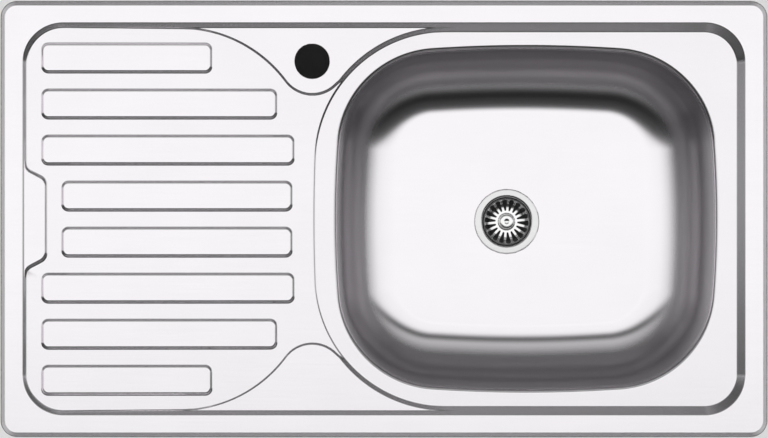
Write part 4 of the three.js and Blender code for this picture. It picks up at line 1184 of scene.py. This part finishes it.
def floor_material():
    """Pale paint, with a deep soft shade under the object that is darkest below its tap hole and
    ends within its outline as seen from above. The floor's underside is see-through."""
    mat, nodes, links, shader = material("floor_paint")
    coords = nodes.new("ShaderNodeTexCoord")
    split = nodes.new("ShaderNodeSeparateXYZ")
    links.new(coords.outputs["Object"], split.inputs[0])
    x, y = SHADE_CENTRE
    west = spread(nodes, links, split.outputs["X"], 1, 0, x - SHADE_WEST, x)
    east = spread(nodes, links, split.outputs["X"], 0, 1, x, x + SHADE_EAST)
    south = spread(nodes, links, split.outputs["Y"], 1, 0, y - SHADE_SOUTH, y)
    north = spread(nodes, links, split.outputs["Y"], 0, 1, y + SHADE_NORTH[0], y + SHADE_NORTH[1])
    sides = (west, east, south, north)
    squares = [math_node(nodes, links, "MULTIPLY", side, side) for side in sides]
    total = squares[0]
    for square in squares[1:]:
        total = math_node(nodes, links, "ADD", total, square)
    apart = math_node(nodes, links, "SQRT", total)
    paint_colour = tint(nodes, links, apart, (SHADE_DARK,) * 3, (FLOOR_LIGHT,) * 3, SHADE_CORE, 1)
    links.new(paint_colour, shader.inputs["Base Color"])
    shader.inputs["Roughness"].default_value = 0.8
    facing = nodes.new("ShaderNodeNewGeometry")
    clear = nodes.new("ShaderNodeBsdfTransparent")
    mix = nodes.new("ShaderNodeMixShader")
    links.new(facing.outputs["Backfacing"], mix.inputs["Fac"])
    links.new(shader.outputs[0], mix.inputs[1])
    links.new(clear.outputs[0], mix.inputs[2])
    links.new(mix.outputs[0], nodes["Material Output"].inputs[0])
    return mat


floor_level = CAD_BOX[0][2] - FLOOR_GAP
corners = [(FLOOR_HALF * x, FLOOR_HALF * y) for x, y in ((-1, -1), (1, -1), (1, 1), (-1, 1))]
floor_mesh = bpy.data.meshes.new("floor")
floor_mesh.from_pydata([(x, y, floor_level) for x, y in corners], [], [(0, 1, 2, 3)])
floor = link("floor", floor_mesh)
wear(floor, floor_material())
floor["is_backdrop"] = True

# ------------------------------------------------------------------ light and camera
# The world is a long soft box overhead, seen in the steel, and an even white light on the rest.
# Each list gives the box's brightness by the angle from overhead, in degrees towards one side.

SOUTH = [
    *((0, 1), (4, 0.94), (5.5, 0.88), (7.5, 0.74), (9.5, 0.39), (11.5, 0.14), (14, 0.075)),
    *((19, 0.047), (28, 0.036), (37, 0.013), (44, 0.02), (49, 0.045), (53, 0.1), (58, 0.19)),
    *((63, 0.2), (68, 0.165), (76, 0.14), (90, 0.2)),
]
NORTH = [
    *((0, 1), (4, 0.91), (12, 0.91), (17, 0.89), (20, 0.8), (22, 0.62), (24, 0.37)),
    *((26.5, 0.13), (29, 0.07), (32, 0.09), (35, 0.25), (38, 0.41), (42, 0.5), (47, 0.44)),
    *((53, 0.37), (58, 0.27), (64, 0.19), (70, 0.145), (78, 0.145), (90, 0.26)),
]
EAST = [(0, 1.0), (30, 0.95), (45, 0.87), (60, 0.67), (71, 0.57), (79, 0.5), (90, 0.43)]
WEST = [(0, 1.0), (30, 0.97), (50, 0.87), (63, 0.64), (76, 0.47), (90, 0.45)]
BOX_STRENGTH = 1.26
LEAST_UP = 0.001


def angle_curve(nodes, links, across, up, low_side, high_side):
    """Brightness by the angle from overhead, read from two lists of (degrees, brightness)."""
    angle = math_node(nodes, links, "ARCTAN2", across, up)
    share = math_node(nodes, links, "MULTIPLY_ADD", angle, 1 / math.pi, 0.5)
    marks = [(0.5 - a / 180, v) for a, v in low_side[:0:-1]]
    marks += [(0.5 + a / 180, v) for a, v in high_side]
    return float_curve(nodes, links, share, marks)


def studio_world():
    """The long box of light for what the camera and the steel see, and even light on the rest."""
    world = bpy.data.worlds.new("studio")
    world.use_nodes = True
    nodes, links = world.node_tree.nodes, world.node_tree.links
    nodes.clear()
    coords = nodes.new("ShaderNodeTexCoord")
    split = nodes.new("ShaderNodeSeparateXYZ")
    links.new(coords.outputs["Generated"], split.inputs[0])
    up = math_node(nodes, links, "MAXIMUM", split.outputs["Z"], LEAST_UP)
    north_south = angle_curve(nodes, links, split.outputs["Y"], up, SOUTH, NORTH)
    east_west = angle_curve(nodes, links, split.outputs["X"], up, WEST, EAST)
    overhead = math_node(nodes, links, "MULTIPLY", north_south, BOX_STRENGTH)
    box_light = math_node(nodes, links, "MULTIPLY", overhead, east_west)
    path = nodes.new("ShaderNodeLightPath")
    glow = nodes.new("ShaderNodeMix")
    glow.data_type = "FLOAT"
    links.new(path.outputs["Is Diffuse Ray"], glow.inputs["Factor"])
    links.new(box_light, glow.inputs["A"])
    glow.inputs["B"].default_value = 1.0
    background = nodes.new("ShaderNodeBackground")
    output = nodes.new("ShaderNodeOutputWorld")
    links.new(glow.outputs["Result"], background.inputs["Strength"])
    background.inputs["Color"].default_value = (1, 1, 1, 1)
    links.new(background.outputs[0], output.inputs[0])
    return world


CAMERA_HEIGHT = 3.185
LENS = 149.6
SENSOR = 36

bpy.context.scene.world = studio_world()
camera_data = bpy.data.cameras.new("camera")
camera_data.sensor_width = SENSOR
camera_data.lens = LENS
camera = link("camera", camera_data)
camera.location = (0, 0, CAMERA_HEIGHT)
bpy.context.scene.camera = camera
bpy.context.scene.view_settings.view_transform = "Standard"

low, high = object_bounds()
{"cad": [list(v) for v in CAD_BOX], "visual": [list(low), list(high)]}
